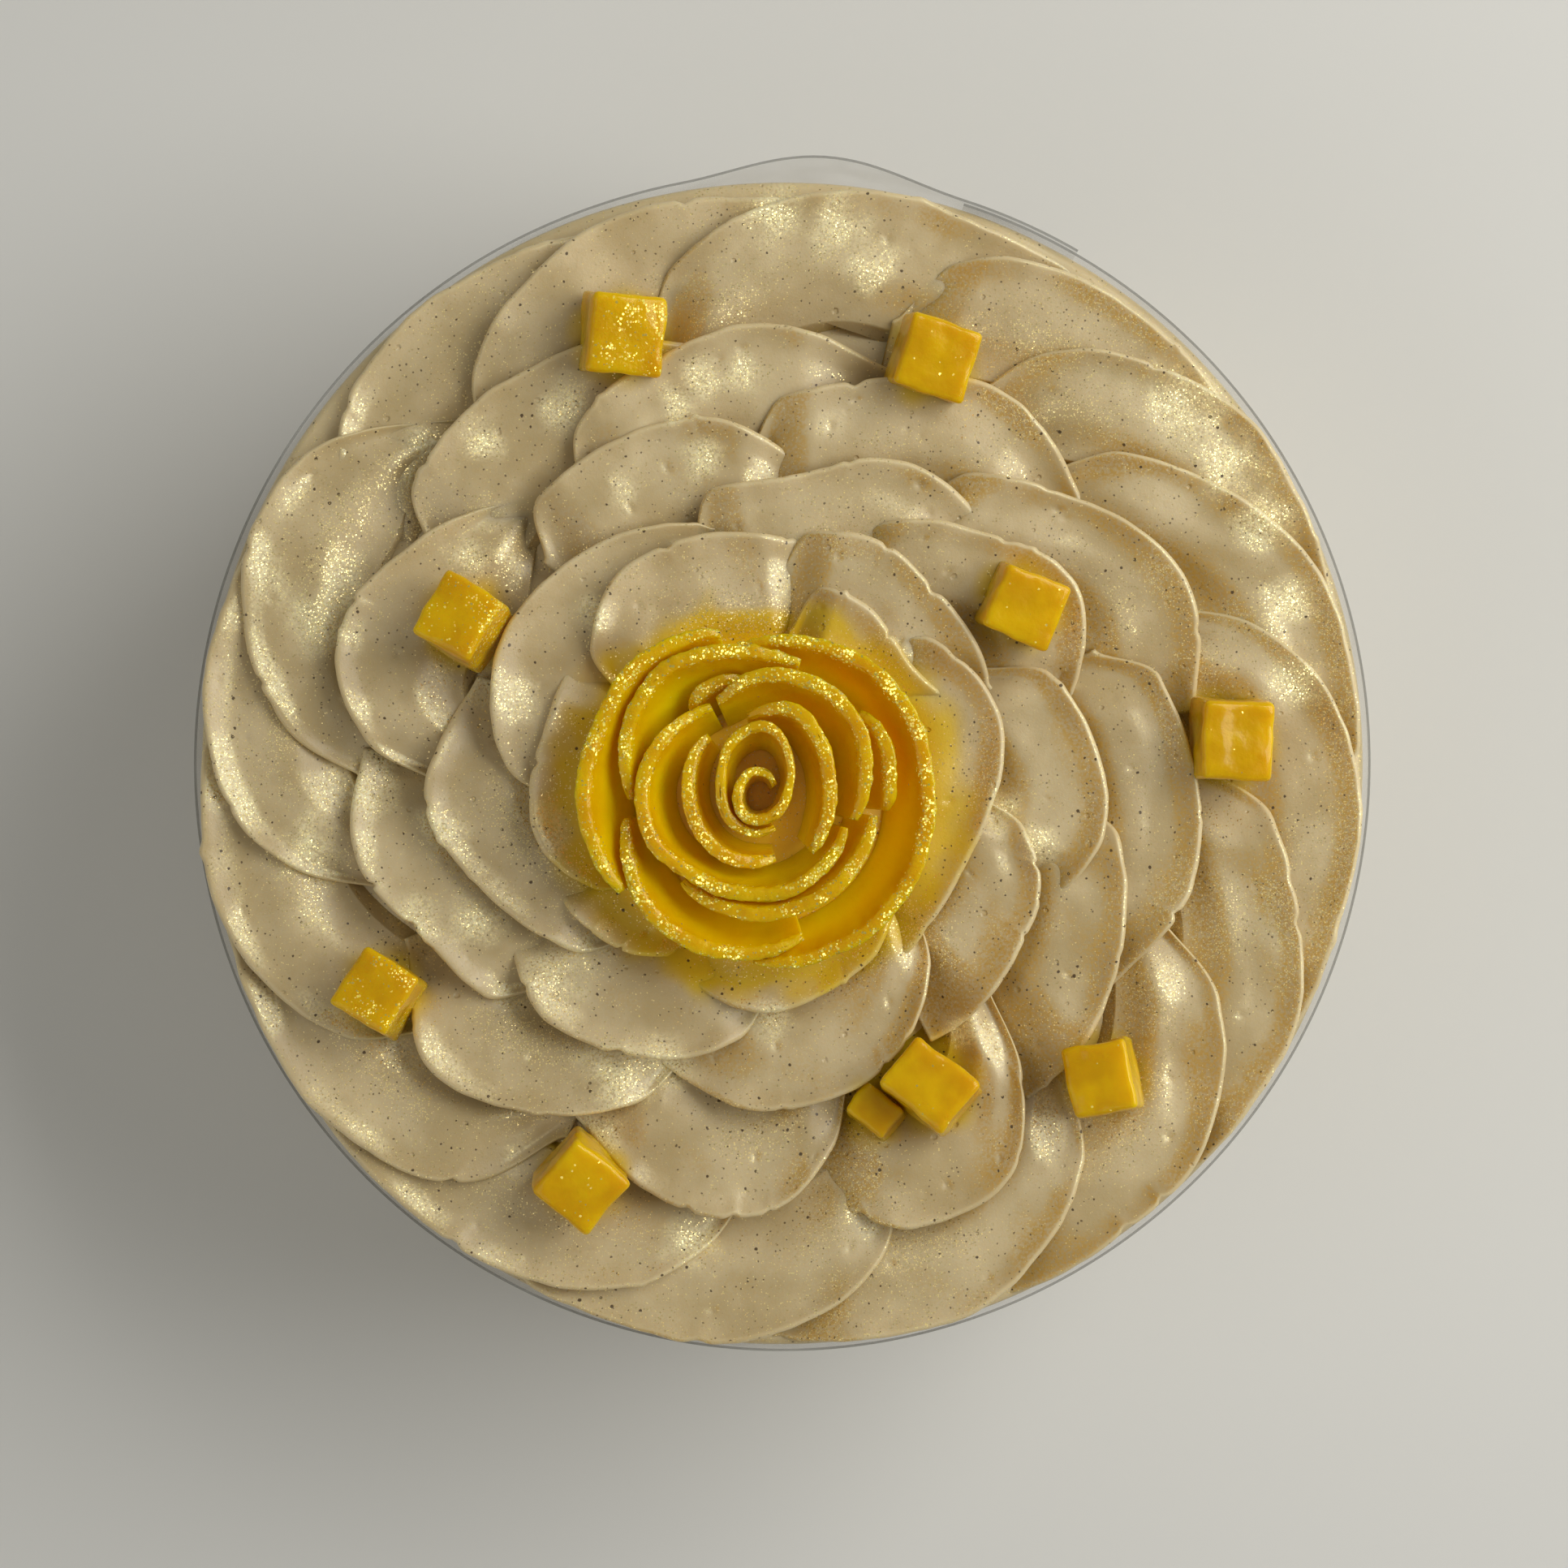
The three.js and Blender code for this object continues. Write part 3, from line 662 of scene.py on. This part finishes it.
def slice_place(rose_slice, seed, half):
    """The function that lays a grid on one slice of the rose, which stands on edge and leans outward."""
    start, end, radii, drop = rose_slice
    length = slice_length(rose_slice)
    foot = ROSE_FLOOR + CLEARANCE

    def place(t, s):
        side = through(SLICE_SIDE, s)
        rise = through(SLICE_RISE, s)
        travelled = t * length
        to_end = abs(2 * t - 1)
        taper = 1 - SLICE_END_TAPER * to_end ** 6
        top = ROSE_TOP - drop - SLICE_END_DROP * to_end ** 3
        top += wave(travelled, seed, SLICE_EDGE_WAVES) + wave(travelled, seed + 5, SLICE_EDGE_RIPPLES)
        z = mix(foot, top, rise)
        lean = ROSE_FOOT_SCALE + (1 - ROSE_FOOT_SCALE) * (z - foot) / (ROSE_TOP - foot)
        ragged = rise ** 6 * wave(travelled, seed + 13 + side, SLICE_RAGS)
        bend = wave(travelled, seed + 9, SLICE_BENDS) + ragged
        radius = (through(radii, t) + side * half * taper + bend) * lean
        angle = math.radians(mix(start, end, t))
        x = ROSE_CENTRE[0] + radius * math.cos(angle)
        y = ROSE_CENTRE[1] + radius * math.sin(angle)
        return Vector((x, y, z)) * MM, rise

    return place


def make_slice(number, rose_slice):
    """One slice of the rose; the last is the thin curl in the middle."""
    half = (CURL_THICKNESS if number == len(ROSE_SLICES) else SLICE_THICKNESS) / 2
    steps = max(SLICE_LEAST_STEPS, round(slice_length(rose_slice) / SLICE_STEP))
    bm = bmesh.new()
    rolled_grid(bm, steps, SLICE_STEPS_ROUND, slice_place(rose_slice, 900 + 3 * number, half))
    close_ends(bm)
    piece = new_piece(f"rose_slice_fine_{number}", bm, f"rose_slice_{number}", slot="mango")
    rise = np.zeros(len(piece.data.vertices), dtype=np.float32)
    piece.data.attributes["across"].data.foreach_get("value", rise)
    attribute(piece, "frost", smooth_steps(rise, *SLICE_FROST_FROM))
    # Painted light: how much of the brighter glow colour is painted on the slice's lower, shaded part
    attribute(piece, "depth", 1 - smooth_steps(rise, *SLICE_DEPTH_FROM))
    return piece


def cube_turn(turn, lean):
    turned = Matrix.Rotation(math.radians(turn), 3, "Z") @ Matrix.Rotation(math.radians(lean), 3, "Y")
    return turned @ Matrix.Rotation(math.radians(lean / 2), 3, "X")


def cube_unevenness(point, seed):
    """How far a point of a cube is shifted: by long bends and by small dents."""
    bend_reach, bend_depth = CUBE_BENDS
    dent_reach, dent_depth = CUBE_DENTS
    bends = noise.noise_vector(point / bend_reach + Vector((seed, 0, 0))) * bend_depth
    return bends + noise.noise_vector(point / dent_reach + Vector((0, seed, 0))) * dent_depth


def make_cube(number, cube):
    """A hand-cut cube of mango: its edges are rounded and its faces a little uneven."""
    sides, turn, lean = cube
    low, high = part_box(f"mango_cube_{number}")
    middle = (Vector(low) + Vector(high)) / 2
    half = Vector(sides) / 2
    turned = cube_turn(turn, lean)
    inside = half - Vector((CUBE_ROUNDING,) * 3)
    seed = 40 + number
    bm = bmesh.new()
    bmesh.ops.create_cube(bm, size=2)
    bmesh.ops.subdivide_edges(bm, edges=bm.edges, cuts=CUBE_CUTS, use_grid_fill=True)
    for vert in bm.verts:
        point = Vector([c * h for c, h in zip(vert.co, half)])
        core = Vector([min(max(c, -i), i) for c, i in zip(point, inside)])
        out = point - core
        if out.length > 0:
            point = core + out.normalized() * CUBE_ROUNDING
        vert.co = middle + turned @ (point * CUBE_SHRUNK + cube_unevenness(point, seed)) * MM
    bmesh.ops.recalc_face_normals(bm, faces=bm.faces)
    piece = new_piece(f"mango_cube_fine_{number}", bm, f"mango_cube_{number}", slot="mango")
    _, normals = points_and_normals(piece)
    facing = smooth_steps(normals @ np.array(CUBE_FROST_FACES), *CUBE_FROST_FROM)
    attribute(piece, "frost", CUBE_FROST[number - 1] * facing)
    return piece


# Film

def film_radius(degrees, height):
    across = (degrees - FILM_START) / (BULGE_FROM - FILM_START)
    swell = math.sin(math.pi * across) ** 2 if 0 < across < 1 else 0
    upward = BULGE_AT_FOOT + (1 - BULGE_AT_FOOT) * height / FILM_TOP
    return FILM_INNER_RADIUS + BULGE_DEPTH * swell * upward


def film_place(t, s):
    """The strip as a flattened roll: s runs up the inside and down the outside."""
    travelled = t * (360 + FILM_LAP)
    angle = FILM_START - travelled
    step = smoothstep(travelled, LAP_RISE_FROM, LAP_RISE_TO) * (FILM_THICKNESS + CLEARANCE)
    place = s * (len(FILM_SECTION) - 1)
    i = min(int(place), len(FILM_SECTION) - 2)
    side = mix(FILM_SECTION[i][0], FILM_SECTION[i + 1][0], place - i)
    rise = mix(FILM_SECTION[i][1], FILM_SECTION[i + 1][1], place - i)
    height = mix(FILM_BOTTOM, FILM_TOP, rise)
    radius = film_radius(angle + 360, height) + step + side * FILM_THICKNESS
    x = radius * math.cos(math.radians(angle))
    y = radius * math.sin(math.radians(angle))
    return Vector((x, y, height)) * MM, height


def make_film():
    """The clear strip, smooth on its faces and sharp at its cut edges."""
    bm = bmesh.new()
    rolled_grid(bm, 360 + FILM_LAP, len(FILM_SECTION) - 1, film_place)
    close_ends(bm)
    piece = new_piece("film_strip", bm, "film", slot="film")
    for face in piece.data.polygons:
        face.use_smooth = abs(face.normal.z) < 0.5
    return piece


# Shader building

class Maker:
    """Places nodes in one tree and joins them, with short names for the kinds used here."""

    def __init__(self, tree):
        self.nodes = tree.nodes
        self.links = tree.links

    def node(self, kind, values=None, **settings):
        made = self.nodes.new(kind)
        for key, value in settings.items():
            setattr(made, key, value)
        for key, value in (values or {}).items():
            self.feed(made.inputs[key], value)
        return made

    def feed(self, socket, value):
        if isinstance(value, bpy.types.NodeSocket):
            self.links.new(value, socket)
        else:
            socket.default_value = value

    def math(self, operation, a, b=0.0, c=0.0, clamp=False):
        made = self.nodes.new("ShaderNodeMath")
        made.operation = operation
        made.use_clamp = clamp
        for socket, value in zip(made.inputs, (a, b, c)):
            self.feed(socket, value)
        return made.outputs[0]

    def vector(self, operation, a, b=(0, 0, 0), scale=1.0):
        made = self.nodes.new("ShaderNodeVectorMath")
        made.operation = operation
        self.feed(made.inputs[0], a)
        self.feed(made.inputs[1], b)
        if operation == "SCALE":
            self.feed(made.inputs["Scale"], scale)
        return made.outputs[0]

    def ramp(self, value, low, high, out_low=0.0, out_high=1.0):
        made = self.node("ShaderNodeMapRange", {"Value": value, "From Min": low, "From Max": high})
        made.interpolation_type = "SMOOTHSTEP"
        self.feed(made.inputs["To Min"], out_low)
        self.feed(made.inputs["To Max"], out_high)
        return made.outputs["Result"]

    def blend(self, factor, a, b):
        made = self.node("ShaderNodeMix", data_type="RGBA")
        self.feed(made.inputs["Factor"], factor)
        self.feed(made.inputs["A"], a)
        self.feed(made.inputs["B"], b)
        return made.outputs["Result"]

    def noise(self, vector, scale, detail=2.0, roughness=0.5):
        values = {"Vector": vector, "Scale": scale, "Detail": detail, "Roughness": roughness}
        return self.node("ShaderNodeTexNoise", values)

    def cells(self, vector, scale):
        return self.node("ShaderNodeTexVoronoi", {"Vector": vector, "Scale": scale})

    def number(self, name):
        return self.node("ShaderNodeAttribute", attribute_name=name).outputs["Fac"]

    def place(self):
        return self.node("ShaderNodeTexCoord").outputs["Object"]


def colour(rgb):
    return (*rgb, 1.0)


def new_group(name, inputs, outputs):
    """An empty shader node group with named sockets, and a Maker for it."""
    group = bpy.data.node_groups.new(name, "ShaderNodeTree")
    for label, kind in inputs:
        group.interface.new_socket(label, in_out="INPUT", socket_type=kind)
    for label, kind in outputs:
        group.interface.new_socket(label, in_out="OUTPUT", socket_type=kind)
    maker = Maker(group)
    given = maker.node("NodeGroupInput")
    result = maker.node("NodeGroupOutput")
    return group, maker, given.outputs, result.inputs


def gold_dust_group():
    """Fine gold flakes, tilted each its own way, about half of them bright as bare metal."""
    group, m, given, result = new_group(
        "gold dust",
        [("Vector", "NodeSocketVector"), ("Amount", "NodeSocketFloat"), ("Size", "NodeSocketFloat"),
         ("Tilt", "NodeSocketFloat"), ("Lean", "NodeSocketFloat"), ("Normal", "NodeSocketVector")],
        [("Mask", "NodeSocketFloat"), ("Bright", "NodeSocketFloat"), ("Normal", "NodeSocketVector")],
    )
    scale = m.math("DIVIDE", 1.0, given["Size"])
    flakes = m.cells(given["Vector"], scale)
    split = m.node("ShaderNodeSeparateColor", {"Color": flakes.outputs["Color"]})
    chosen = m.math("GREATER_THAN", given["Amount"], split.outputs["Red"])
    flake_size = m.math("MULTIPLY_ADD", split.outputs["Green"], 0.3, 0.28)
    inside = m.math("LESS_THAN", flakes.outputs["Distance"], flake_size)
    mask = m.math("MULTIPLY", chosen, inside)
    m.feed(result["Mask"], mask)
    m.feed(result["Bright"], m.math("MULTIPLY", mask, m.math("GREATER_THAN", split.outputs["Blue"], 0.5)))
    tilt = m.vector("SUBTRACT", flakes.outputs["Color"], (0.5, 0.5, 0.5))
    spread = m.math("MULTIPLY", mask, given["Tilt"])
    tilted = m.vector("ADD", given["Normal"], m.vector("SCALE", tilt, scale=spread))
    lean = m.math("MULTIPLY", mask, given["Lean"])
    tilted = m.vector("ADD", tilted, m.vector("SCALE", GOLD_LEANS, scale=lean))
    m.feed(result["Normal"], m.vector("NORMALIZE", tilted))
    return group


def specks_group():
    """Scattered round specks of a given size: one in each cell, with ragged edges."""
    group, m, given, result = new_group(
        "specks",
        [("Vector", "NodeSocketVector"), ("Spacing", "NodeSocketFloat"), ("Radius", "NodeSocketFloat"),
         ("Softness", "NodeSocketFloat")],
        [("Mask", "NodeSocketFloat")],
    )
    scale = m.math("DIVIDE", 1.0, given["Spacing"])
    ragged = m.noise(given["Vector"], 1400.0, detail=1.0)
    shift = m.vector("SUBTRACT", ragged.outputs["Color"], (0.5, 0.5, 0.5))
    moved = m.vector("ADD", given["Vector"], m.vector("SCALE", shift, scale=0.00035))
    cell = m.cells(moved, scale)
    away = m.math("MULTIPLY", cell.outputs["Distance"], given["Spacing"])
    split = m.node("ShaderNodeSeparateColor", {"Color": cell.outputs["Color"]})
    radius = m.math("MULTIPLY", given["Radius"], m.math("MULTIPLY_ADD", split.outputs["Blue"], 0.7, 0.5))
    inner = m.math("MULTIPLY", radius, m.math("SUBTRACT", 1.0, given["Softness"]))
    mask = m.ramp(away, inner, radius, 1.0, 0.0)
    m.feed(result["Mask"], mask)
    return group


def group_node(maker, group, values):
    made = maker.nodes.new("ShaderNodeGroup")
    made.node_tree = group
    for key, value in values.items():
        maker.feed(made.inputs[key], value)
    return made.outputs


def new_material(name):
    material = bpy.data.materials.new(name)
    material.use_nodes = True
    maker = Maker(material.node_tree)
    shader = material.node_tree.nodes["Principled BSDF"]
    return material, maker, shader


def cream_colour(m, where, powder, glitter_and_highlight):
    """Mottled cream powdered with gold and stained with juice, with painted light: a paler lip as a painted
    highlight, the gold tint deepened as painted shade on slopes turned from the window, pale gold painted
    highlights, and a painted glow in the rose's well.
    """
    mottle = m.noise(where, 75.0, detail=3.0)
    base = m.blend(m.ramp(mottle.outputs["Fac"], 0.35, 0.65), colour(CREAM_DEEP), colour(CREAM_COLOUR))
    # Painted highlight: the thin lip is painted paler, as if lit
    base = m.blend(m.ramp(m.number("across"), 0.2, 1.3, 0.6, 0.0), base, colour(CREAM_LIP_HIGHLIGHT))
    # Painted shade: the gold tint is deepest on the slopes turned away from the window; a little lies
    # everywhere as gold powder
    shaded_and_dusted = m.math("MULTIPLY_ADD", m.number("dust"), 0.85, 0.1)
    powdered_and_shaded = m.math("MULTIPLY", shaded_and_dusted, m.ramp(powder, 0.36, 0.6, 0.25, 1.0))
    base = m.blend(powdered_and_shaded, base, colour(GOLD_AND_SHADE_TINT))
    # Painted highlight: pale gold painted where the cream faces the light and in the bright patches
    highlighted = m.math("MULTIPLY", glitter_and_highlight, m.ramp(powder, 0.35, 0.6, 0.2, 0.9))
    base = m.blend(highlighted, base, colour(HIGHLIGHT_PALE_GOLD))
    base = m.blend(m.math("MULTIPLY", m.number("juice"), 0.95), base, colour(JUICE_COLOUR))
    # Painted light: the shaded floor of the rose's well is painted with the bright mango glow
    return m.blend(m.number("well"), base, colour(MANGO_GLOW))


def vanilla_specks(m, where, specks, base):
    """Many small vanilla specks and fewer large ones, over the base colour."""
    for size, strength in ((SMALL_SPECKS, 0.75), (LARGE_SPECKS, 0.9)):
        mask = group_node(m, specks, {"Vector": where, **size})["Mask"]
        base = m.blend(m.math("MULTIPLY", mask, strength), base, colour(SPECK_COLOUR))
    return base


def cream_relief(m, where, specks, powder, glitter_and_highlight):
    """The normal of the cream: low swells, air pits and a fine grain that is coarser under the glitter."""
    pits = group_node(m, specks, {"Vector": where, **AIR_PITS})
    swell = m.noise(where, 160.0, detail=2.0, roughness=0.45)
    relief = m.math("SUBTRACT", m.math("MULTIPLY", swell.outputs["Fac"], 0.4), pits["Mask"])
    relief = m.math("MULTIPLY_ADD", powder, m.ramp(glitter_and_highlight, 0.0, 1.0, 0.16, 0.3), relief)
    bump = m.node("ShaderNodeBump", {"Height": relief, "Strength": 0.6, "Distance": RELIEF_DEPTH})
    return bump.outputs["Normal"]


def gold_on_cream(m, where, dust, glitter_and_highlight, normal):
    """The flakes on the cream, thicker on the petals' shoulders, on the slopes with painted shade and in the
    patches of painted highlight, where they also lean toward the light.
    """
    across = m.number("across")
    patches = m.noise(where, 38.0, detail=3.0)
    patchy = m.ramp(patches.outputs["Fac"], 0.44, 0.64)
    shoulder = m.math("MULTIPLY", m.ramp(across, 9.0, 12.0), m.ramp(across, 15.5, 19.0, 1.0, 0.15))
    # Gold flakes are also thicker on the slopes with painted shade
    sprayed_and_shaded = m.math("MULTIPLY", m.number("dust"), 0.45)
    dense = m.math("MAXIMUM", m.math("MULTIPLY", shoulder, 0.5), sprayed_and_shaded)
    amount = m.math("MULTIPLY_ADD", patchy, m.math("ADD", dense, 0.12), 0.05)
    amount = m.math("MULTIPLY_ADD", glitter_and_highlight, 0.6, amount)
    lean = m.math("MULTIPLY_ADD", glitter_and_highlight, 0.8, 0.15)
    values = {"Vector": where, "Amount": amount, "Size": CREAM_FLAKE_SIZE, "Tilt": 0.7, "Lean": lean}
    return group_node(m, dust, {**values, "Normal": normal})


def cream_material(dust, specks):
    """Vanilla cream: satin, with specks, pits, a lip painted paler as a painted highlight, gold dust in
    patches, painted shade and painted highlights, mango juice, and a painted glow in the rose's well.
    """
    material, m, shader = new_material("piped cream")
    where = m.place()
    glitter_and_highlight = m.number("glitter_and_highlight")
    powder = m.noise(where, 1900.0, detail=2.0, roughness=0.6).outputs["Fac"]
    base = cream_colour(m, where, powder, glitter_and_highlight)
    base = vanilla_specks(m, where, specks, base)
    normal = cream_relief(m, where, specks, powder, glitter_and_highlight)
    gold = gold_on_cream(m, where, dust, glitter_and_highlight, normal)
    base = m.blend(m.math("MULTIPLY", gold["Mask"], 0.8), base, colour(GOLD_FLAKE))
    m.feed(shader.inputs["Base Color"], base)
    m.feed(shader.inputs["Metallic"], m.math("MULTIPLY", gold["Bright"], 0.8))
    m.feed(shader.inputs["Roughness"], m.ramp(gold["Mask"], 0.0, 1.0, 0.40, 0.32))
    m.feed(shader.inputs["Normal"], gold["Normal"])
    shader.inputs["Subsurface Weight"].default_value = 0.3
    shader.inputs["Subsurface Radius"].default_value = (1.0, 0.75, 0.45)
    shader.inputs["Subsurface Scale"].default_value = 0.003
    shader.inputs["Specular IOR Level"].default_value = 0.5
    shader.inputs["Coat Weight"].default_value = 0.14
    shader.inputs["Coat Roughness"].default_value = 0.26
    shader.inputs["Coat Tint"].default_value = (1.0, 0.94, 0.75, 1.0)
    return material


def mango_relief(m, where, frost):
    """The normal of the fruit: dimples, upright fibres, and wrinkles that are deeper where gold lies."""
    stretched = m.vector("MULTIPLY", where, (1.0, 1.0, 0.25))
    fibres = m.noise(stretched, 700.0)
    dimples = m.noise(where, 260.0)
    wrinkles = m.noise(where, 1500.0)
    relief = m.math("MULTIPLY_ADD", fibres.outputs["Fac"], 0.2, dimples.outputs["Fac"])
    wrinkled = m.ramp(frost, 0.0, 1.0, 0.25, 0.8)
    relief = m.math("MULTIPLY_ADD", wrinkles.outputs["Fac"], wrinkled, relief)
    bump = m.node("ShaderNodeBump", {"Height": relief, "Strength": 0.45, "Distance": RELIEF_DEPTH})
    return bump.outputs["Normal"]


def gold_on_mango(m, where, dust, frost, normal):
    """The flakes on the fruit, in clusters on its frosted edges and faces."""
    patches = m.noise(where, 190.0)
    patchy = m.ramp(patches.outputs["Fac"], 0.40, 0.62, 0.15, 1.0)
    amount = m.math("MULTIPLY_ADD", frost, patchy, 0.002)
    values = {"Vector": where, "Amount": amount, "Size": MANGO_FLAKE_SIZE, "Tilt": 0.6, "Lean": patchy}
    return group_node(m, dust, {**values, "Normal": normal})


def mango_material(dust):
    """Ripe mango, wet and fibrous, painted with a brighter glow low down as painted light in the shaded gaps
    between slices, and with gold dust where it is frosted.
    """
    material, m, shader = new_material("ripe mango")
    where = m.place()
    frost = m.number("frost")
    cloud = m.noise(where, 140.0, detail=3.0)
    base = m.blend(m.ramp(cloud.outputs["Fac"], 0.35, 0.7), colour(MANGO_DEEP), colour(MANGO_COLOUR))
    # Painted light: the lower, shaded parts of the slices are painted with the brighter glow colour
    base = m.blend(m.number("depth"), base, colour(MANGO_GLOW))
    normal = mango_relief(m, where, frost)
    gold = gold_on_mango(m, where, dust, frost, normal)
    base = m.blend(m.math("MULTIPLY", gold["Mask"], 0.8), base, colour(GOLD_ON_FRUIT))
    m.feed(shader.inputs["Base Color"], base)
    m.feed(shader.inputs["Metallic"], m.math("MULTIPLY", gold["Bright"], 0.7))
    m.feed(shader.inputs["Normal"], gold["Normal"])
    shader.inputs["Roughness"].default_value = 0.24
    shader.inputs["Specular IOR Level"].default_value = 0.25
    shader.inputs["Specular Tint"].default_value = (1.0, 0.86, 0.45, 1.0)
    shader.inputs["Subsurface Weight"].default_value = 0.8
    shader.inputs["Subsurface Radius"].default_value = (1.0, 0.6, 0.04)
    shader.inputs["Subsurface Scale"].default_value = 0.006
    shader.inputs["Coat Weight"].default_value = 0.3
    shader.inputs["Coat Roughness"].default_value = 0.07
    return material


def film_material():
    """Clear film, seen mostly by its cut edge, painted dark grey as painted shade, and by its reflections.
    """
    material, m, shader = new_material("clear film")
    smear = m.noise(m.place(), 60.0, detail=2.0)
    # Painted shade: the cut edge is painted dark grey and nearly opaque
    edge = m.ramp(m.number("across"), FILM_TOP - FILM_THICKNESS, FILM_TOP - 0.05)
    clear = m.ramp(smear.outputs["Fac"], 0.4, 0.7, 0.10, 0.16)
    m.feed(shader.inputs["Alpha"], m.math("MAXIMUM", clear, m.math("MULTIPLY", edge, 0.75)))
    m.feed(shader.inputs["Base Color"], m.blend(edge, colour(FILM_COLOUR), colour(FILM_EDGE_SHADE)))
    m.feed(shader.inputs["Roughness"], m.ramp(smear.outputs["Fac"], 0.3, 0.7, 0.04, 0.12))
    shader.inputs["Specular IOR Level"].default_value = 0.8
    return material


def floor_material():
    material, m, shader = new_material("pale floor")
    soft = m.noise(m.place(), 3.0)
    tone = tuple(c * 0.97 for c in FLOOR_COLOUR)
    m.feed(shader.inputs["Base Color"], m.blend(soft.outputs["Fac"], colour(tone), colour(FLOOR_COLOUR)))
    shader.inputs["Roughness"].default_value = 0.8
    return material


# The picture: camera, floor and light

FLOOR_HALF = 3.0
AIMED_AT = Vector((0, 0, 0.08))
ROOM_COLOUR = (0.88, 0.87, 0.80, 1)
ROOM_STRENGTH = 0.26


def make_camera():
    data = bpy.data.cameras.new("camera")
    data.sensor_fit = "HORIZONTAL"
    data.angle = 2 * math.atan(PICTURE_SIDE * PIXEL_ON_FLOOR / 2 / CAMERA_HEIGHT)
    data.clip_start = 0.01
    camera = bpy.data.objects.new("camera", data)
    camera.location = (CAMERA_X, CAMERA_Y, CAMERA_HEIGHT)
    bpy.context.collection.objects.link(camera)
    bpy.context.scene.camera = camera


def make_floor(material):
    bm = bmesh.new()
    bmesh.ops.create_grid(bm, x_segments=1, y_segments=1, size=FLOOR_HALF)
    mesh = bpy.data.meshes.new("floor")
    bm.to_mesh(mesh)
    bm.free()
    mesh.materials.append(material)
    floor = bpy.data.objects.new("floor", mesh)
    bpy.context.collection.objects.link(floor)


def make_light(name, place, size, power, tint):
    """A rectangular lamp in metres and watts, aimed at the cake."""
    data = bpy.data.lights.new(name, "AREA")
    data.shape = "RECTANGLE"
    data.size = size[0]
    data.size_y = size[1]
    data.energy = power
    data.color = tint
    light = bpy.data.objects.new(name, data)
    light.location = place
    towards = AIMED_AT - Vector(place)
    light.rotation_euler = towards.to_track_quat("-Z", "Y").to_euler()
    bpy.context.collection.objects.link(light)


def light_the_cake():
    """A wide window to the right, light back from a wall on the left, and a dim room."""
    make_light("window", (0.78, 0.29, 0.76), (1.0, 0.8), 10.8, (1.0, 0.98, 0.92))
    make_light("wall", (-0.9, -0.5, 0.9), (1.2, 1.2), 3.2, (1.0, 0.97, 0.9))
    world = bpy.data.worlds.new("room")
    world.use_nodes = True
    background = world.node_tree.nodes["Background"]
    background.inputs["Color"].default_value = ROOM_COLOUR
    background.inputs["Strength"].default_value = ROOM_STRENGTH
    bpy.context.scene.world = world
    bpy.context.scene.view_settings.view_transform = "Standard"


# Putting it together

def make_cream(material):
    """The coat and the four rings of petals, the outermost in two pieces to keep each one light."""
    creamy = [
        make_coat(),
        make_petals("petals_outer_a", OUTER_PETALS[:HALF_RING], 100, RIM_FIRST_PETAL_DIP, closes_ring=False),
        make_petals("petals_outer_b", OUTER_PETALS[HALF_RING:], 120, 0),
        make_petals("petals_second", SECOND_PETALS, 200),
        make_petals("petals_third", THIRD_PETALS, 300),
        make_petals("petals_inner", INNER_PETALS, 400, 0, closes_ring=False),
    ]
    for piece in creamy:
        paint_cream(piece)
        piece.data.materials.append(material)


def make_fruit(material):
    """The rose's slices and the cubes."""
    fruit = [make_slice(number, rose_slice) for number, rose_slice in enumerate(ROSE_SLICES, start=1)]
    fruit += [make_cube(number, cube) for number, cube in enumerate(CUBES, start=1)]
    for piece in fruit:
        piece.data.materials.append(material)


def main():
    noise.seed_set(NOISE_SEED)
    dust = gold_dust_group()
    make_cream(cream_material(dust, specks_group()))
    make_fruit(mango_material(dust))
    make_film().data.materials.append(film_material())
    make_floor(floor_material())
    make_camera()
    light_the_cake()


main()
